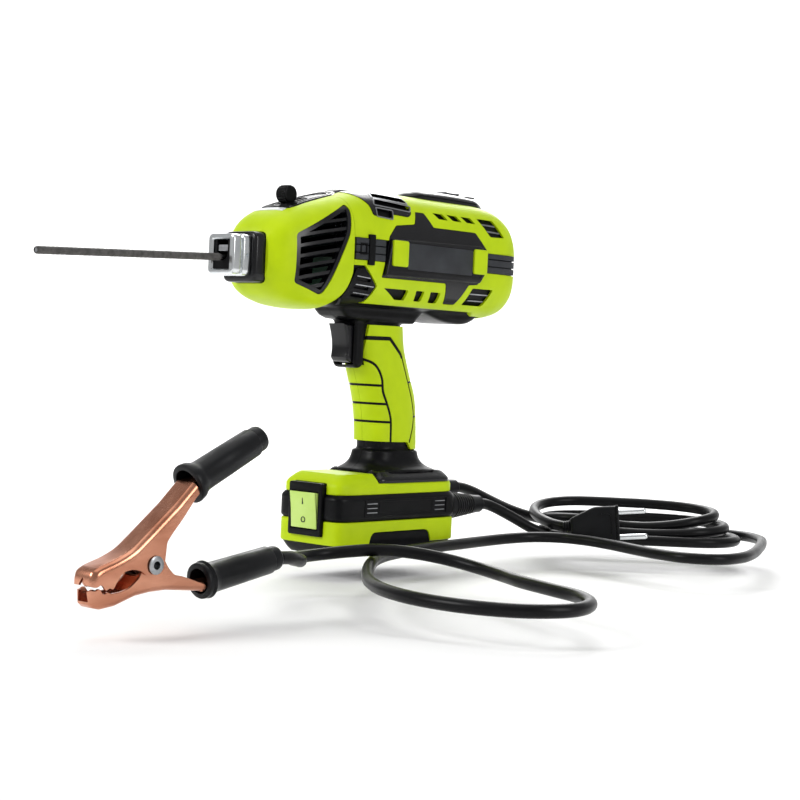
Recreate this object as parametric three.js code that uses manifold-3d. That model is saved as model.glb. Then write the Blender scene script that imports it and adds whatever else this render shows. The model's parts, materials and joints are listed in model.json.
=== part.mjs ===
// Hand-held arc welder: pistol-shaped inverter body on a base, with a coiled mains lead and an earth
// lead that ends in a spring clamp. Millimetres, +Z up. Y runs along the gun, with the electrode at -Y.
// +X is the gun's left side. The origin is the centre of the base's underside.
import * as THREE from 'three';
import { mergeVertices } from 'three/addons/utils/BufferGeometryUtils.js';
import Module from 'manifold-3d';

const wasm = await Module();
wasm.setup();

// ---------- driving dimensions ----------
const GAP = 0.3; // clearance between touching pieces
const SKIN = 1.9; // thickness of the coloured skins
const WALL = 3; // thickness of the black housing
const CORE = SKIN + GAP; // depth of the housing's surface under the skin's surface
const ARC_STEPS = 3; // segments in a quarter-round corner

// barrel stations: y, half width, lowest z, highest z
const BARREL = [
  [-140.5, 20, 200, 237],
  [-137.5, 24.5, 196, 241.5],
  [-131.5, 29, 191, 248],
  [-121.5, 33, 187, 254],
  [-107, 36.3, 184, 259.5],
  [-90, 39, 183, 264.5],
  [-73, 41, 183.5, 269],
  [-55, 42, 184.5, 273.5],
  [-25, 42, 184.5, 276],
  [78, 42, 184, 276],
  [100, 41.5, 184, 274.5],
  [114, 40, 186, 270],
  [123, 36.5, 191, 263],
  [128, 31, 198, 254],
];
// the room inside the barrel's housing, stated like the barrel
const CHAMBER = [
  [-130, 19.5, 202, 236],
  [-104, 30, 190, 253],
  [-73, 35.5, 189, 262.5],
  [-50, 36.8, 190, 268],
  [100, 36.4, 190, 269],
  [122, 30, 198, 256],
];
const BARREL_POWER = 3.2; // squareness of the barrel's section
const NOSE_REAR = -73; // seam between the nose shell and the side frames
const REAR_AXIS_Z = 226; // centre of the fan and of its outlet

// grip stations: z, centre y, half width in x, half length in y
const GRIP = [
  [70, 15.5, 20.5, 28.5],
  [78, 15.5, 19.5, 26.5],
  [92, 14.8, 19.5, 26.5],
  [104, 13.6, 19.5, 26.7],
  [118, 11, 19.5, 27.2],
  [139, 3, 19, 27],
  [157, -2.8, 18.8, 26.2],
  [176, -7, 19.2, 27.4],
];
const GRIP_POWER = 2.5;

const BASE = { halfX: 34, halfY: 69, foot: 8, lower: 26, band: 46, upper: 61, power: 9 };
const HEAD = { front: -168, halfX: 13.3, low: 204, high: 233, bore: 8.5, boreLow: 208, boreHigh: 229 };
const ROD = { z: 216.3, dip: 2.4, tip: -328.4, coreR: 1.6, coatR: 2.6 };
const KNOB = { x: 2, y: -107, z: 266.4, r: 6.8, width: 10, teeth: 18 };
const RELEASE_SLOPE = 17; // degrees, along the top of the nose
const TRIGGER_HALF = 9;
const MAINS = { r: 4.4, x: 17, z: 33, glandEnd: 115 };
const EARTH = { r: 4.4, x: -15, z: 44, glandEnd: 122 };
const COIL = { x: 71.4, y: 270.6, turn: 41, straight: 39, outer: 49.6, inner: 24, low: 0.4, high: 34.6 };
// the plug lies on its side against the coil; x, y, z is the middle between the feet of its pins
const PLUG = {
  x: 93.2, y: 207.2, z: 19, turn: 41, nose: 5, lean: 8, depth: 16, pitch: 21, pinR: 2.3, pinLength: 24,
};
const CLAMP = { x: 139, y: -346, z: 24.6, halfWidth: 9.8, sheet: 1.6, rivetR: 4 };

// centreline of the mains lead, from its strain relief to the coil
const MAINS_ROUTE = [
  [17, 115.8, 33],
  [17.2, 124, 32.3],
  [19, 133, 29.6],
  [22.6, 143, 25],
  [28, 154, 19],
  [34.4, 166, 12.2],
  [42, 178.6, 7.4],
  [50, 188.6, 6],
];

// centreline of the earth lead, from its strain relief round the coil and the base to the clamp
const EARTH_ROUTE = [
  [-15, 122.9, 44],
  [-15, 132, 43],
  [-15.2, 146, 39.6],
  [-16, 164, 33.8],
  [-17.6, 184, 27.6],
  [-19.4, 206, 21.4],
  [-19.6, 230, 15.6],
  [-14.6, 258, 10],
  [3.6, 288, 6],
  [34, 315, 5],
  [65, 341, 5],
  [95, 358, 5],
  [124, 361, 5],
  [149, 344, 5],
  [168, 314, 5],
  [186, 278, 5],
  [204, 238, 5],
  [215, 202, 5],
  [213, 172, 5],
  [193, 156, 5],
  [165, 158, 5],
  [136, 166.5, 5.2],
  [109.6, 171.9, 6],
  [86.5, 170.7, 7],
  [62.8, 165.7, 7],
  [47, 149, 6.6],
  [40, 126, 5.8],
  [38, 100, 5],
  [43, 62, 5],
  [48, 24, 5],
  [55, -14, 5],
  [67, -52, 5],
  [84, -84, 5],
  [108, -116, 5],
  [136, -148, 5],
  [164, -176, 5],
  [196, -197, 5],
  [232, -208, 5],
  [270, -206, 5],
  [300, -190, 5],
  [314, -162, 5],
  [306, -132, 5],
  [282, -109, 5],
  [250, -96, 5],
  [214, -82, 5],
  [188, -68, 5],
  [160, -60, 6.6],
  [136, -64, 10],
  [116, -78, 13.4],
  [98, -95, 14.6],
  [82, -109, 12.6],
  [72, -125, 10.6],
  [71, -145, 9.8],
  [80, -164, 10.6],
  [97, -179, 12.6],
  [115, -192, 14.8],
  [128, -206, 17],
  [135.6, -221, 20.4],
  [139, -235.8, 21.6],
];

const COLOUR = {
  lime: [0xb4dc00, 0.42, 0],
  black: [0x17181a, 0.4, 0],
  gloss: [0x101114, 0.16, 0],
  grey: [0x3a3d42, 0.38, 0],
  rubber: [0x1c1d1f, 0.6, 0],
  cable: [0x18191b, 0.5, 0],
  chrome: [0xd9dcdf, 0.15, 1],
  steel: [0x8c8f93, 0.35, 1],
  copper: [0xc9805f, 0.3, 1],
  coating: [0x55524f, 0.85, 0],
  paleGreen: [0xbfdc6e, 0.35, 0],
  lamp: [0xe8ecee, 0.2, 0],
  board: [0x1d5c3a, 0.55, 0],
  alloy: [0xa9adb1, 0.4, 1],
};

const root = new THREE.Group();

// ---------- helpers ----------
function solid(geometry) {
  const bare = geometry.clone();
  for (const name of Object.keys(bare.attributes)) {
    if (name !== 'position') bare.deleteAttribute(name);
  }
  const merged = mergeVertices(bare, 1e-4);
  const vertProperties = new Float32Array(merged.attributes.position.array);
  const triVerts = new Uint32Array(merged.index.array);
  return new wasm.Manifold(new wasm.Mesh({ numProp: 3, vertProperties, triVerts }));
}

function toGeometry(shape) {
  const mesh = shape.getMesh();
  const geometry = new THREE.BufferGeometry();
  geometry.setAttribute('position', new THREE.BufferAttribute(new Float32Array(mesh.vertProperties), 3));
  geometry.setIndex(new THREE.BufferAttribute(new Uint32Array(mesh.triVerts), 1));
  return geometry;
}

function add(name, shape, colour) {
  const geometry = shape.isBufferGeometry ? shape : toGeometry(shape);
  const [color, roughness, metalness] = COLOUR[colour];
  const mesh = new THREE.Mesh(geometry, new THREE.MeshStandardMaterial({ color, roughness, metalness }));
  mesh.name = name;
  root.add(mesh);
  return mesh;
}

const outline = (points) => new THREE.Shape(points.map(([a, b]) => new THREE.Vector2(a, b)));

// extrudes a shape drawn in (y, z) from x0 to x1
function prismX(shape, x0, x1, bevel = 0) {
  const options = { depth: x1 - x0 - 2 * bevel, curveSegments: ARC_STEPS, bevelEnabled: bevel > 0 };
  Object.assign(options, { bevelThickness: bevel, bevelSize: bevel, bevelOffset: -bevel, bevelSegments: 1 });
  const geometry = new THREE.ExtrudeGeometry(shape, options);
  const axes = [new THREE.Vector3(0, 1, 0), new THREE.Vector3(0, 0, 1), new THREE.Vector3(1, 0, 0)];
  geometry.applyMatrix4(new THREE.Matrix4().makeBasis(...axes));
  return solid(geometry.translate(x0 + bevel, 0, 0));
}

// extrudes a shape drawn in (x, z) from y0 to y1
function prismY(shape, y0, y1, bevel = 0) {
  const options = { depth: y1 - y0 - 2 * bevel, curveSegments: ARC_STEPS, bevelEnabled: bevel > 0 };
  Object.assign(options, { bevelThickness: bevel, bevelSize: bevel, bevelOffset: -bevel, bevelSegments: 1 });
  const geometry = new THREE.ExtrudeGeometry(shape, options).rotateX(Math.PI / 2);
  return solid(geometry.translate(0, y1 - bevel, 0));
}

// extrudes a shape drawn in (x, y) from z0 to z1
function prismZ(shape, z0, z1) {
  const options = { depth: z1 - z0, curveSegments: ARC_STEPS, bevelEnabled: false };
  return solid(new THREE.ExtrudeGeometry(shape, options).translate(0, 0, z0));
}

function box(x0, x1, y0, y1, z0, z1) {
  const geometry = new THREE.BoxGeometry(x1 - x0, y1 - y0, z1 - z0);
  return solid(geometry.translate((x0 + x1) / 2, (y0 + y1) / 2, (z0 + z1) / 2));
}

function roundedRect(a0, a1, b0, b1, r) {
  const shape = new THREE.Shape();
  shape.moveTo(a0 + r, b0);
  shape.lineTo(a1 - r, b0);
  shape.absarc(a1 - r, b0 + r, r, -Math.PI / 2, 0);
  shape.lineTo(a1, b1 - r);
  shape.absarc(a1 - r, b1 - r, r, 0, Math.PI / 2);
  shape.lineTo(a0 + r, b1);
  shape.absarc(a0 + r, b1 - r, r, Math.PI / 2, Math.PI);
  shape.lineTo(a0, b0 + r);
  shape.absarc(a0 + r, b0 + r, r, Math.PI, 1.5 * Math.PI);
  return shape;
}

function disc(r, a = 0, b = 0, arcs = 4) {
  const shape = new THREE.Shape();
  for (let i = 0; i < arcs; i += 1) {
    shape.absarc(a, b, r, (i / arcs) * 2 * Math.PI, ((i + 1) / arcs) * 2 * Math.PI);
  }
  return shape;
}

// a strip of the given width along a polyline, as one closed outline
function strip(points, width) {
  const left = [];
  const right = [];
  points.forEach(([a, b], i) => {
    const before = points[Math.max(i - 1, 0)];
    const after = points[Math.min(i + 1, points.length - 1)];
    const length = Math.hypot(after[0] - before[0], after[1] - before[1]);
    const na = (-(after[1] - before[1]) / length) * (width / 2);
    const nb = ((after[0] - before[0]) / length) * (width / 2);
    left.push([a + na, b + nb]);
    right.unshift([a - na, b - nb]);
  });
  return outline([...left, ...right]);
}

// closed skin over a row of rings that all have the same number of points
function loft(rings) {
  const count = rings[0].length;
  const positions = rings.flat().flatMap((p) => [p.x, p.y, p.z]);
  const index = [];
  for (let r = 0; r < rings.length - 1; r += 1) {
    for (let i = 0; i < count; i += 1) {
      const a = r * count + i;
      const b = r * count + ((i + 1) % count);
      index.push(a, b, a + count, b, b + count, a + count);
    }
  }
  const last = rings.length - 1;
  for (let i = 1; i < count - 1; i += 1) {
    index.push(0, i + 1, i);
    index.push(last * count, last * count + i, last * count + i + 1);
  }
  const geometry = new THREE.BufferGeometry();
  geometry.setAttribute('position', new THREE.Float32BufferAttribute(positions, 3));
  geometry.setIndex(index);
  return solid(geometry);
}

// points of a superellipse of half sizes a and b
function superellipse(a, b, power, count) {
  const points = [];
  for (let i = 0; i < count; i += 1) {
    const angle = ((i + 0.5) / count) * 2 * Math.PI;
    const c = Math.cos(angle);
    const s = Math.sin(angle);
    points.push([
      a * Math.sign(c) * Math.abs(c) ** (2 / power),
      b * Math.sign(s) * Math.abs(s) ** (2 / power),
    ]);
  }
  return points;
}

// a body that runs along y through stations of y, half width, lowest z and highest z
function alongY(stations, inset, power, count) {
  const ends = stations.length - 1;
  const rings = stations.map(([y, half, low, high], i) => {
    const shift = i === 0 ? inset : i === ends ? -inset : 0;
    const mid = (low + high) / 2;
    const section = superellipse(half - inset, (high - low) / 2 - inset, power, count);
    return section.map(([a, b]) => new THREE.Vector3(-a, y + shift, mid + b));
  });
  return loft(rings);
}

// a body that runs up z through stations of z, centre y, half width in x and half length in y
function alongZ(stations, inset, power, count) {
  const rings = stations.map(([z, y, halfX, halfY]) => {
    const section = superellipse(halfX - inset, halfY - inset, power, count);
    return section.map(([a, b]) => new THREE.Vector3(a, y + b, z));
  });
  return loft(rings);
}

const barrel = (inset) => alongY(BARREL, inset, BARREL_POWER, 24);
const grip = (inset) => alongZ(GRIP, inset, GRIP_POWER, 16);
const mirror = (shape) => shape.mirror([1, 0, 0]);

// a tube along a smooth curve through the points
function tube(points, r, steps, sides) {
  const curve = new THREE.CatmullRomCurve3(points.map((p) => new THREE.Vector3(...p)), false, 'centripetal');
  const section = new THREE.Shape();
  for (let i = 0; i < sides; i += 1) {
    const angle = (i / sides) * 2 * Math.PI;
    if (i === 0) section.moveTo(r, 0);
    else section.lineTo(r * Math.cos(angle), r * Math.sin(angle));
  }
  return new THREE.ExtrudeGeometry(section, { steps, extrudePath: curve });
}

// a turned piece with its axis along +y, from a profile of radius and y
function turnedY(profile, sides) {
  const points = profile.map(([r, y]) => new THREE.Vector2(r, y));
  return new THREE.LatheGeometry(points, sides);
}

// ---------- outlines on the barrel's side, in (y, z) ----------
const GRILLE_WINDOW = [
  [-124, 201], [-100, 193.5], [-97, 195], [-77, 239], [-73.6, 257.5], [-76, 261.5], [-124, 236],
];
const NOSE_LOWER_CUT = [[-100, 170], [-86, 186], [-78, 196], [-72.6, 214], [-60, 214], [-60, 170]];
const UPPER_VENT = [
  [-62, 290], [-62, 271], [-54.5, 262.5], [-53, 255], [-32.5, 253.6], [-31, 257.4], [-13, 256.8],
  [-9, 260], [-13, 290],
];
const PANEL = [
  [-42.4, 209.4], [32, 209.4], [37, 193.5], [50.5, 193.5], [60.5, 209.6], [71, 210.4], [82, 222],
  [82, 237], [66, 251.4], [15, 251.4], [6, 261.8], [-4, 261.8], [-7.4, 252], [-29, 249.4], [-36.4, 240.6],
];
const LABEL = [[-41, 211], [71, 211.6], [80, 223.6], [80, 236], [70, 241], [-35, 239]];
const LOWER_VENT = [[-70, 214.5], [-61, 216.4], [-46, 203], [-50.6, 190.6], [-72, 187], [-77.6, 192.5]];
const LOWER_SLOTS = [
  [[-37, 202], [-9, 202], [-9, 194], [-20, 194]],
  [[0, 202], [10, 202], [10, 194], [2, 194]],
  [[17, 202], [29, 202], [29, 193.6], [19, 193.6]],
];
const REAR_LOWER_VENT = [[66, 207.6], [92, 207.6], [84.6, 194], [59.4, 194]];
const UPPER_SLOTS = [17, 34, 51].map((y) => [[y, 263], [y + 12, 262.8], [y + 17, 258.4], [y + 6, 258.6]]);
const REAR_UPPER_VENT = [[71, 263], [92, 263], [104, 250], [85, 249.4]];
const LOWER_BLACK = [[-52, 170], [-50.6, 190], [81, 189], [90, 183.6], [90, 170]];
const FRONT_BLACK = [
  [-74, 170], [-74, 217], [-61, 217.4], [-45.2, 203.2], [-50.4, 190.2], [-52, 170],
];
const LAMP = { half: 14, front: -122.4, rear: -118.6, seat: -118 };
const TOP_PLATE = [
  [-15, -118.2], [15, -118.2], [16.6, -112], [15.4, -72], [9, -63], [-9, -63], [-15.4, -72],
  [-16.6, -112],
];
const POD = [
  [-62, 7, 262, 272.6],
  [-54, 11, 262, 275.6],
  [-30, 14, 262, 277.4],
  [4, 15, 262, 278],
  [14, 19, 262, 280],
  [26, 21.4, 262, 282.4],
  [60, 21.6, 262, 283],
  [90, 20.6, 262, 282.4],
  [100, 18, 262, 279.6],
  [107, 14, 262, 275.6],
];

function grown(points, by) {
  const centre = points.reduce(([a, b], [c, d]) => [a + c / points.length, b + d / points.length], [0, 0]);
  return points.map(([a, b]) => {
    const length = Math.hypot(a - centre[0], b - centre[1]);
    const scale = (length + by) / length;
    return [centre[0] + (a - centre[0]) * scale, centre[1] + (b - centre[1]) * scale];
  });
}

const side = (points, by = 0) => prismX(outline(by ? grown(points, by) : points), 4, 60);
const pod = (inset) => alongY(POD, inset, 3, 20);
const layer = (outer, inner) => barrel(outer).subtract(barrel(inner));

// ---------- housing ----------
const BELLY = [[34, 192], [34, 188], [52, 181.4], [70, 179], [88, 180], [99, 186], [99, 192]];
const THROAT = [
  [-58, 190], [-56, 184], [-51, 180], [-45, 178], [-30, 177], [27, 176.6], [34, 183], [42, 190],
];
const LOBE = { front: -36.6, rear: -26.2, z: 146, top: 182 };
// the flared foot of the grip, stated like the grip
const NECK = [
  [61.4, 18, 28.5, 42],
  [63, 17.6, 28, 41],
  [65, 16.6, 25, 36],
  [68, 16, 22, 31],
  [73, 15.5, 20, 27.6],
  [78, 15.4, 19.4, 26.4],
];
const TRIGGER_POCKET = box(-TRIGGER_HALF - 0.7, TRIGGER_HALF + 0.7, -70, -10, 143.4, 175);

function makeGuard() {
  const r = (LOBE.rear - LOBE.front) / 2;
  const shape = new THREE.Shape();
  shape.moveTo(LOBE.front, LOBE.top);
  shape.lineTo(LOBE.front, LOBE.z);
  shape.absarc(LOBE.front + r, LOBE.z, r, Math.PI, 1.5 * Math.PI);
  shape.absarc(LOBE.front + r, LOBE.z, r, 1.5 * Math.PI, 2 * Math.PI);
  shape.lineTo(LOBE.rear, LOBE.top);
  return prismX(shape, -12.8, 12.8, 2.4);
}

function makeHousing() {
  const belly = prismX(outline(BELLY), -21, 21, 2);
  const throat = prismX(outline(THROAT), -16.5, 16.5, 3);
  const neck = alongZ(NECK, 0, 3, 16);
  const handle = grip(CORE);
  const outer = barrel(CORE).add(belly).add(throat).add(makeGuard()).add(neck).add(handle);
  const chamber = alongY(CHAMBER, 0, BARREL_POWER, 12);
  const passage = alongZ(GRIP.filter((station, i) => i % 2 === 1), CORE + WALL, GRIP_POWER, 12);
  const outlet = alongZ([[60, 15.5, 14, 20], [80, 15.5, 14, 20]], 0, 3, 12);
  const cavity = chamber.add(passage).add(outlet);
  const rearHole = prismY(disc(24.4, 0, REAR_AXIS_Z, 8), 106, 140);
  const frontHole = box(-13, 13, -140, -120, 204, 234);
  const slideHole = prismZ(roundedRect(-10.6, 10.6, -118, -72, 2), 244, 300);
  const grilleHole = side(GRILLE_WINDOW, -4);
  const displayHole = box(-15, 15, 62, 101, 266, 300);
  return outer
    .subtract(cavity)
    .subtract(TRIGGER_POCKET)
    .subtract(rearHole)
    .subtract(frontHole)
    .subtract(slideHole)
    .subtract(grilleHole)
    .subtract(mirror(grilleHole))
    .subtract(displayHole);
}

const housing = makeHousing();
const half = GAP / 2; // what each of two mirrored pieces gives up at their seam
add('housing_left', housing.intersect(box(half, 80, -200, 200, 0, 320)), 'black');
add('housing_right', housing.intersect(box(-80, -half, -200, 200, 0, 320)), 'black');

// ---------- coloured skins ----------
function makeNoseShell() {
  const nose = outline([[-150, 150], [-150, 300], [NOSE_REAR - half, 300], [NOSE_REAR - half, 150]]);
  const lampHalf = LAMP.half + GAP;
  const collarHole = prismY(roundedRect(-17.4, 17.4, 199.2, 236.4, 6), -145, -125);
  const grille = side(GRILLE_WINDOW);
  const lowerCut = prismX(outline(NOSE_LOWER_CUT), -60, 60);
  return layer(0, SKIN)
    .intersect(prismX(nose, -60, 60))
    .subtract(collarHole)
    .subtract(grille)
    .subtract(mirror(grille))
    .subtract(lowerCut)
    .subtract(prismZ(outline(grown(TOP_PLATE, GAP)), 230, 300))
    .subtract(box(-lampHalf, lampHalf, LAMP.front - GAP, LAMP.seat, 230, 300))
    .subtract(pod(-GAP));
}
add('nose_shell', makeNoseShell(), 'lime');

function makeSideFrame() {
  const windows = [UPPER_VENT, PANEL, REAR_LOWER_VENT, REAR_UPPER_VENT, ...LOWER_SLOTS, ...UPPER_SLOTS];
  let frame = layer(0, SKIN).intersect(box(half, 60, NOSE_REAR + half, 140, 150, 300));
  for (const window of windows) frame = frame.subtract(side(window));
  frame = frame.subtract(prismX(outline(FRONT_BLACK), -1, 60)).subtract(prismX(outline(LOWER_BLACK), -1, 60));
  frame = frame.subtract(side([[-74.5, 221], [-34, 221], [-34, 237.6], [-74.5, 237.6]]));
  frame = frame.subtract(prismX(outline([[78, 220.4], [140, 220.4], [140, 236.4], [78, 236.4]]), 27, 60));
  frame = frame.subtract(box(-1, 12, -90, 60, 255, 300)).subtract(pod(-GAP));
  frame = frame.subtract(prismX(outline(grown(BELLY, 0.6)), -22, 22));
  frame = frame.subtract(prismZ(outline(grown(TOP_PLATE, GAP)), 230, 300));
  return frame.subtract(prismY(disc(24.4, 0, REAR_AXIS_Z, 8), 106, 140));
}
const sideFrame = makeSideFrame();
add('side_frame_left', sideFrame, 'lime');
add('side_frame_right', mirror(sideFrame), 'lime');

// ---------- grilles and vents ----------
const SLAT_SLOPE = 0.12;

function slats(from, to, count, z0, rise, width) {
  const cuts = [];
  for (let i = 0; i < count; i += 1) {
    const z = z0 + i * rise;
    const far = z + (to - from) * SLAT_SLOPE;
    cuts.push([[from, z], [to, far], [to, far + width], [from, z + width]]);
  }
  return cuts;
}

function makeNoseGrille() {
  let plate = layer(0.6, CORE - GAP).intersect(side(GRILLE_WINDOW, -GAP));
  const opening = side(GRILLE_WINDOW, -5);
  for (const cut of slats(-128, -69, 7, 194, 8.4, 3.4)) plate = plate.subtract(side(cut).intersect(opening));
  return plate;
}
const noseGrille = makeNoseGrille();
add('nose_grille_left', noseGrille, 'gloss');
add('nose_grille_right', mirror(noseGrille), 'gloss');

const UPPER_VENT_CUTS = [
  [[-49, 254.5], [-31, 253.4], [-30, 261], [-48, 262]],
  [[-47, 265], [-8, 262], [-6, 267], [-44, 270]],
];

function makeUpperVent() {
  let plate = layer(-0.4, CORE - GAP).intersect(side(UPPER_VENT, -GAP)).subtract(pod(-GAP));
  for (const cut of UPPER_VENT_CUTS) plate = plate.subtract(side(cut));
  return plate.subtract(box(-1, 12.2, -90, 60, 255, 300));
}
const upperVent = makeUpperVent();
add('upper_vent_left', upperVent, 'black');
add('upper_vent_right', mirror(upperVent), 'black');

function makeLowerVent() {
  let plate = layer(0.4, CORE - GAP).intersect(side(LOWER_VENT, -GAP * 2));
  for (const z of [194, 200, 206]) {
    plate = plate.subtract(side([[-68, z], [-52, z - 0.8], [-52, z + 1], [-68, z + 1.8]]));
  }
  return plate;
}
const lowerVent = makeLowerVent();
add('lower_vent_left', lowerVent, 'black');
add('lower_vent_right', mirror(lowerVent), 'black');

function makeRearGrille() {
  let plate = prismY(disc(24, 0, REAR_AXIS_Z, 8), 123.6, 128.4, 0.6);
  for (let i = 0; i < 8; i += 1) {
    const slot = new THREE.Shape();
    const from = (i / 8) * 2 * Math.PI;
    slot.absarc(0, 0, 20.5, from, from + 0.6);
    slot.absarc(0, 0, 9.5, from + 0.6, from, true);
    const cut = prismY(slot, 120, 140).translate([0, 0, REAR_AXIS_Z]);
    plate = plate.subtract(cut);
  }
  return plate.add(prismY(disc(2, 0, REAR_AXIS_Z), 108, 124));
}
add('rear_grille', makeRearGrille(), 'black');

// ---------- side panels with rail, label plate and tabs ----------
const LABEL_FACE = 44.4;
const TABS = [[-35, -17.5], [61, 77.5]];

function makeRail(y0, y1, z0, z1, x0) {
  const bar = prismX(roundedRect(y0, y1, z0, z1, 1), x0, 42.9);
  return bar.intersect(barrel(-1.4)).subtract(barrel(CORE - GAP));
}

function makeSidePanel() {
  const back = layer(-0.2, CORE - GAP).intersect(side(PANEL, -GAP));
  const frame = prismX(outline(LABEL), 40.2, LABEL_FACE, 0.8);
  const rail = makeRail(-72.4, 81, 221.4, 237.2, 39.9);
  const rear = makeRail(78, 118, 220.8, 236, 30);
  const recess = prismX(roundedRect(-17.3, 60.8, 216.8, 237.4, 1.5), LABEL_FACE - 1.2, 60);
  let panel = back.add(frame).add(rail).add(rear).subtract(recess);
  for (const [y0, y1] of TABS) {
    const seat = roundedRect(y0 - GAP, y1 + GAP, 218.4, 238.6, 2.5);
    panel = panel.subtract(prismX(seat, LABEL_FACE - 1.6, 60));
  }
  return panel.intersect(prismX(outline([[-72.4, 150], [-72.4, 300], [140, 300], [140, 150]]), 4, 60));
}
const sidePanel = makeSidePanel();
add('side_panel_left', sidePanel, 'gloss');
add('side_panel_right', mirror(sidePanel), 'gloss');

const labelPlate = prismX(roundedRect(-17, 60.5, 217.1, 237.1, 1.2), LABEL_FACE - 0.9, LABEL_FACE - 0.1);
add('label_plate_left', labelPlate, 'grey');
add('label_plate_right', mirror(labelPlate), 'grey');

TABS.forEach(([y0, y1], i) => {
  const tab = prismX(roundedRect(y0, y1, 218.7, 238.3, 2.2), LABEL_FACE - 1.3, LABEL_FACE + 1.4);
  const place = i === 0 ? 'front' : 'rear';
  add(`tab_${place}_left`, tab, 'lime');
  add(`tab_${place}_right`, mirror(tab), 'lime');
});

// ---------- top of the barrel ----------
const topPlate = layer(-0.1, CORE - GAP)
  .intersect(prismZ(outline(TOP_PLATE), 230, 300))
  .subtract(prismZ(roundedRect(-4.6, 4.6, -113, -88, 4.4), 230, 300))
  .subtract(pod(-GAP));
add('top_plate', topPlate, 'gloss');

const lampWindow = layer(-0.4, CORE - GAP)
  .intersect(box(-LAMP.half, LAMP.half, LAMP.front, LAMP.rear, 235, 300));
add('lamp_window', lampWindow, 'lamp');

function makeTopPod() {
  const rockerSeat = box(-7.4, 7.4, 66.6, 85.4, 266, 300);
  const displaySeat = box(-12.3, 12.3, 87, 98.3, 281.3, 300);
  return pod(0).subtract(barrel(CORE - GAP)).subtract(rockerSeat).subtract(displaySeat);
}
add('top_pod', makeTopPod(), 'gloss');
add('display_window', box(-12, 12, 87.3, 98, 281.6, 282.9), 'gloss');

const levelRocker = prismX(
  outline([[67, 280.6], [67, 285], [76, 284], [85, 285], [85, 280.6], [79, 276.4], [73, 276.4]]),
  -7, 7, 0.5,
);
add('level_rocker', levelRocker, 'grey');

// ---------- head, jaws and electrode ----------
function makeHead() {
  const flange = prismY(roundedRect(-HEAD.halfX, HEAD.halfX, HEAD.low, HEAD.high, 4), HEAD.front, -160, 0.8);
  const groove = prismY(roundedRect(-11.4, 11.4, 206, 231, 3), -161, -157);
  const block = prismY(roundedRect(-13, 13, 203.6, 233.4, 4), -158, -150.3, 0.8);
  const tail = prismY(roundedRect(-11, 11, 205.6, 231.4, 2), -151, -126);
  const bore = box(-HEAD.bore, HEAD.bore, -180, -100, HEAD.boreLow, HEAD.boreHigh);
  const pinHole = prismX(disc(1.4, -154.2, 218.5), 10, 20);
  return flange.add(groove).add(block).add(tail).subtract(bore).subtract(pinHole);
}
add('head_block', makeHead(), 'chrome');

const collar = prismY(roundedRect(-17, 17, 199.6, 236, 6), -150, -135.2, 1.2)
  .subtract(prismY(roundedRect(-11.4, 11.4, 205.2, 231.8, 2), -160, -120))
  .subtract(barrel(CORE - GAP));
add('nose_collar', collar, 'black');

const jawShape = new THREE.Shape();
jawShape.moveTo(-8.1, HEAD.boreLow + GAP);
jawShape.lineTo(8.1, HEAD.boreLow + GAP);
jawShape.lineTo(8.1, HEAD.boreHigh - GAP);
jawShape.lineTo(5.4, HEAD.boreHigh - GAP);
jawShape.lineTo(5.4, 219);
jawShape.lineTo(2.2, 214);
jawShape.lineTo(-2.2, 214);
jawShape.lineTo(-5.4, 219);
jawShape.lineTo(-5.4, HEAD.boreHigh - GAP);
jawShape.lineTo(-8.1, HEAD.boreHigh - GAP);
add('jaw_block', prismY(jawShape, -166.2, -136), 'steel');
add('pressure_shoe', box(-4.8, 4.8, -165.4, -138, 220.6, 225.2), 'steel');

function placeRod(geometry) {
  const dip = THREE.MathUtils.degToRad(ROD.dip);
  return geometry.rotateX(dip).translate(0, HEAD.front, ROD.z);
}
const rodLength = HEAD.front - ROD.tip;
const coreProfile = [[0, -rodLength + 0.4], [ROD.coreR, -rodLength + 0.4], [ROD.coreR, 26], [0, 26]];
add('electrode_core', placeRod(turnedY(coreProfile, 12)), 'steel');
const coatIn = ROD.coreR + GAP;
const coatRear = -0.6;
const coatProfile = [
  [coatIn, -rodLength], [ROD.coatR - 0.5, -rodLength], [ROD.coatR, -rodLength + 1.2],
  [ROD.coatR, coatRear], [coatIn, coatRear], [coatIn, -rodLength],
];
add('electrode_coating', placeRod(turnedY(coatProfile, 14)), 'coating');

// ---------- release knob ----------
function makeReleaseSlide() {
  const slope = THREE.MathUtils.degToRad(RELEASE_SLOPE);
  const carriage = solid(new THREE.BoxGeometry(18, 20, 2.4).rotateX(slope).translate(0, -102, 252.6));
  const stem = box(-3, 3, -110, -104, 250, KNOB.z - KNOB.r - GAP);
  return carriage.add(stem);
}
add('release_slide', makeReleaseSlide(), 'gloss');

const knobShape = new THREE.Shape();
for (let i = 0; i < KNOB.teeth * 2; i += 1) {
  const angle = (i / (KNOB.teeth * 2)) * 2 * Math.PI;
  const r = i % 2 === 0 ? KNOB.r : KNOB.r - 0.7;
  const [a, b] = [KNOB.y + r * Math.cos(angle), KNOB.z + r * Math.sin(angle)];
  if (i === 0) knobShape.moveTo(a, b);
  else knobShape.lineTo(a, b);
}
add('release_knob', prismX(knobShape, KNOB.x - KNOB.width / 2, KNOB.x + KNOB.width / 2), 'black');

// ---------- grip skins ----------
const GRIP_REGION = new THREE.Shape();
GRIP_REGION.moveTo(-25.6, 174.4);
GRIP_REGION.lineTo(60, 174.4);
GRIP_REGION.lineTo(60, 78.4);
GRIP_REGION.lineTo(25, 79);
GRIP_REGION.lineTo(20, 84.6);
GRIP_REGION.lineTo(-60, 85.6);
GRIP_REGION.lineTo(-60, 139.4);
GRIP_REGION.lineTo(-34, 139.4);
GRIP_REGION.lineTo(-28, 141.4);
GRIP_REGION.lineTo(-25.6, 146);

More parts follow.
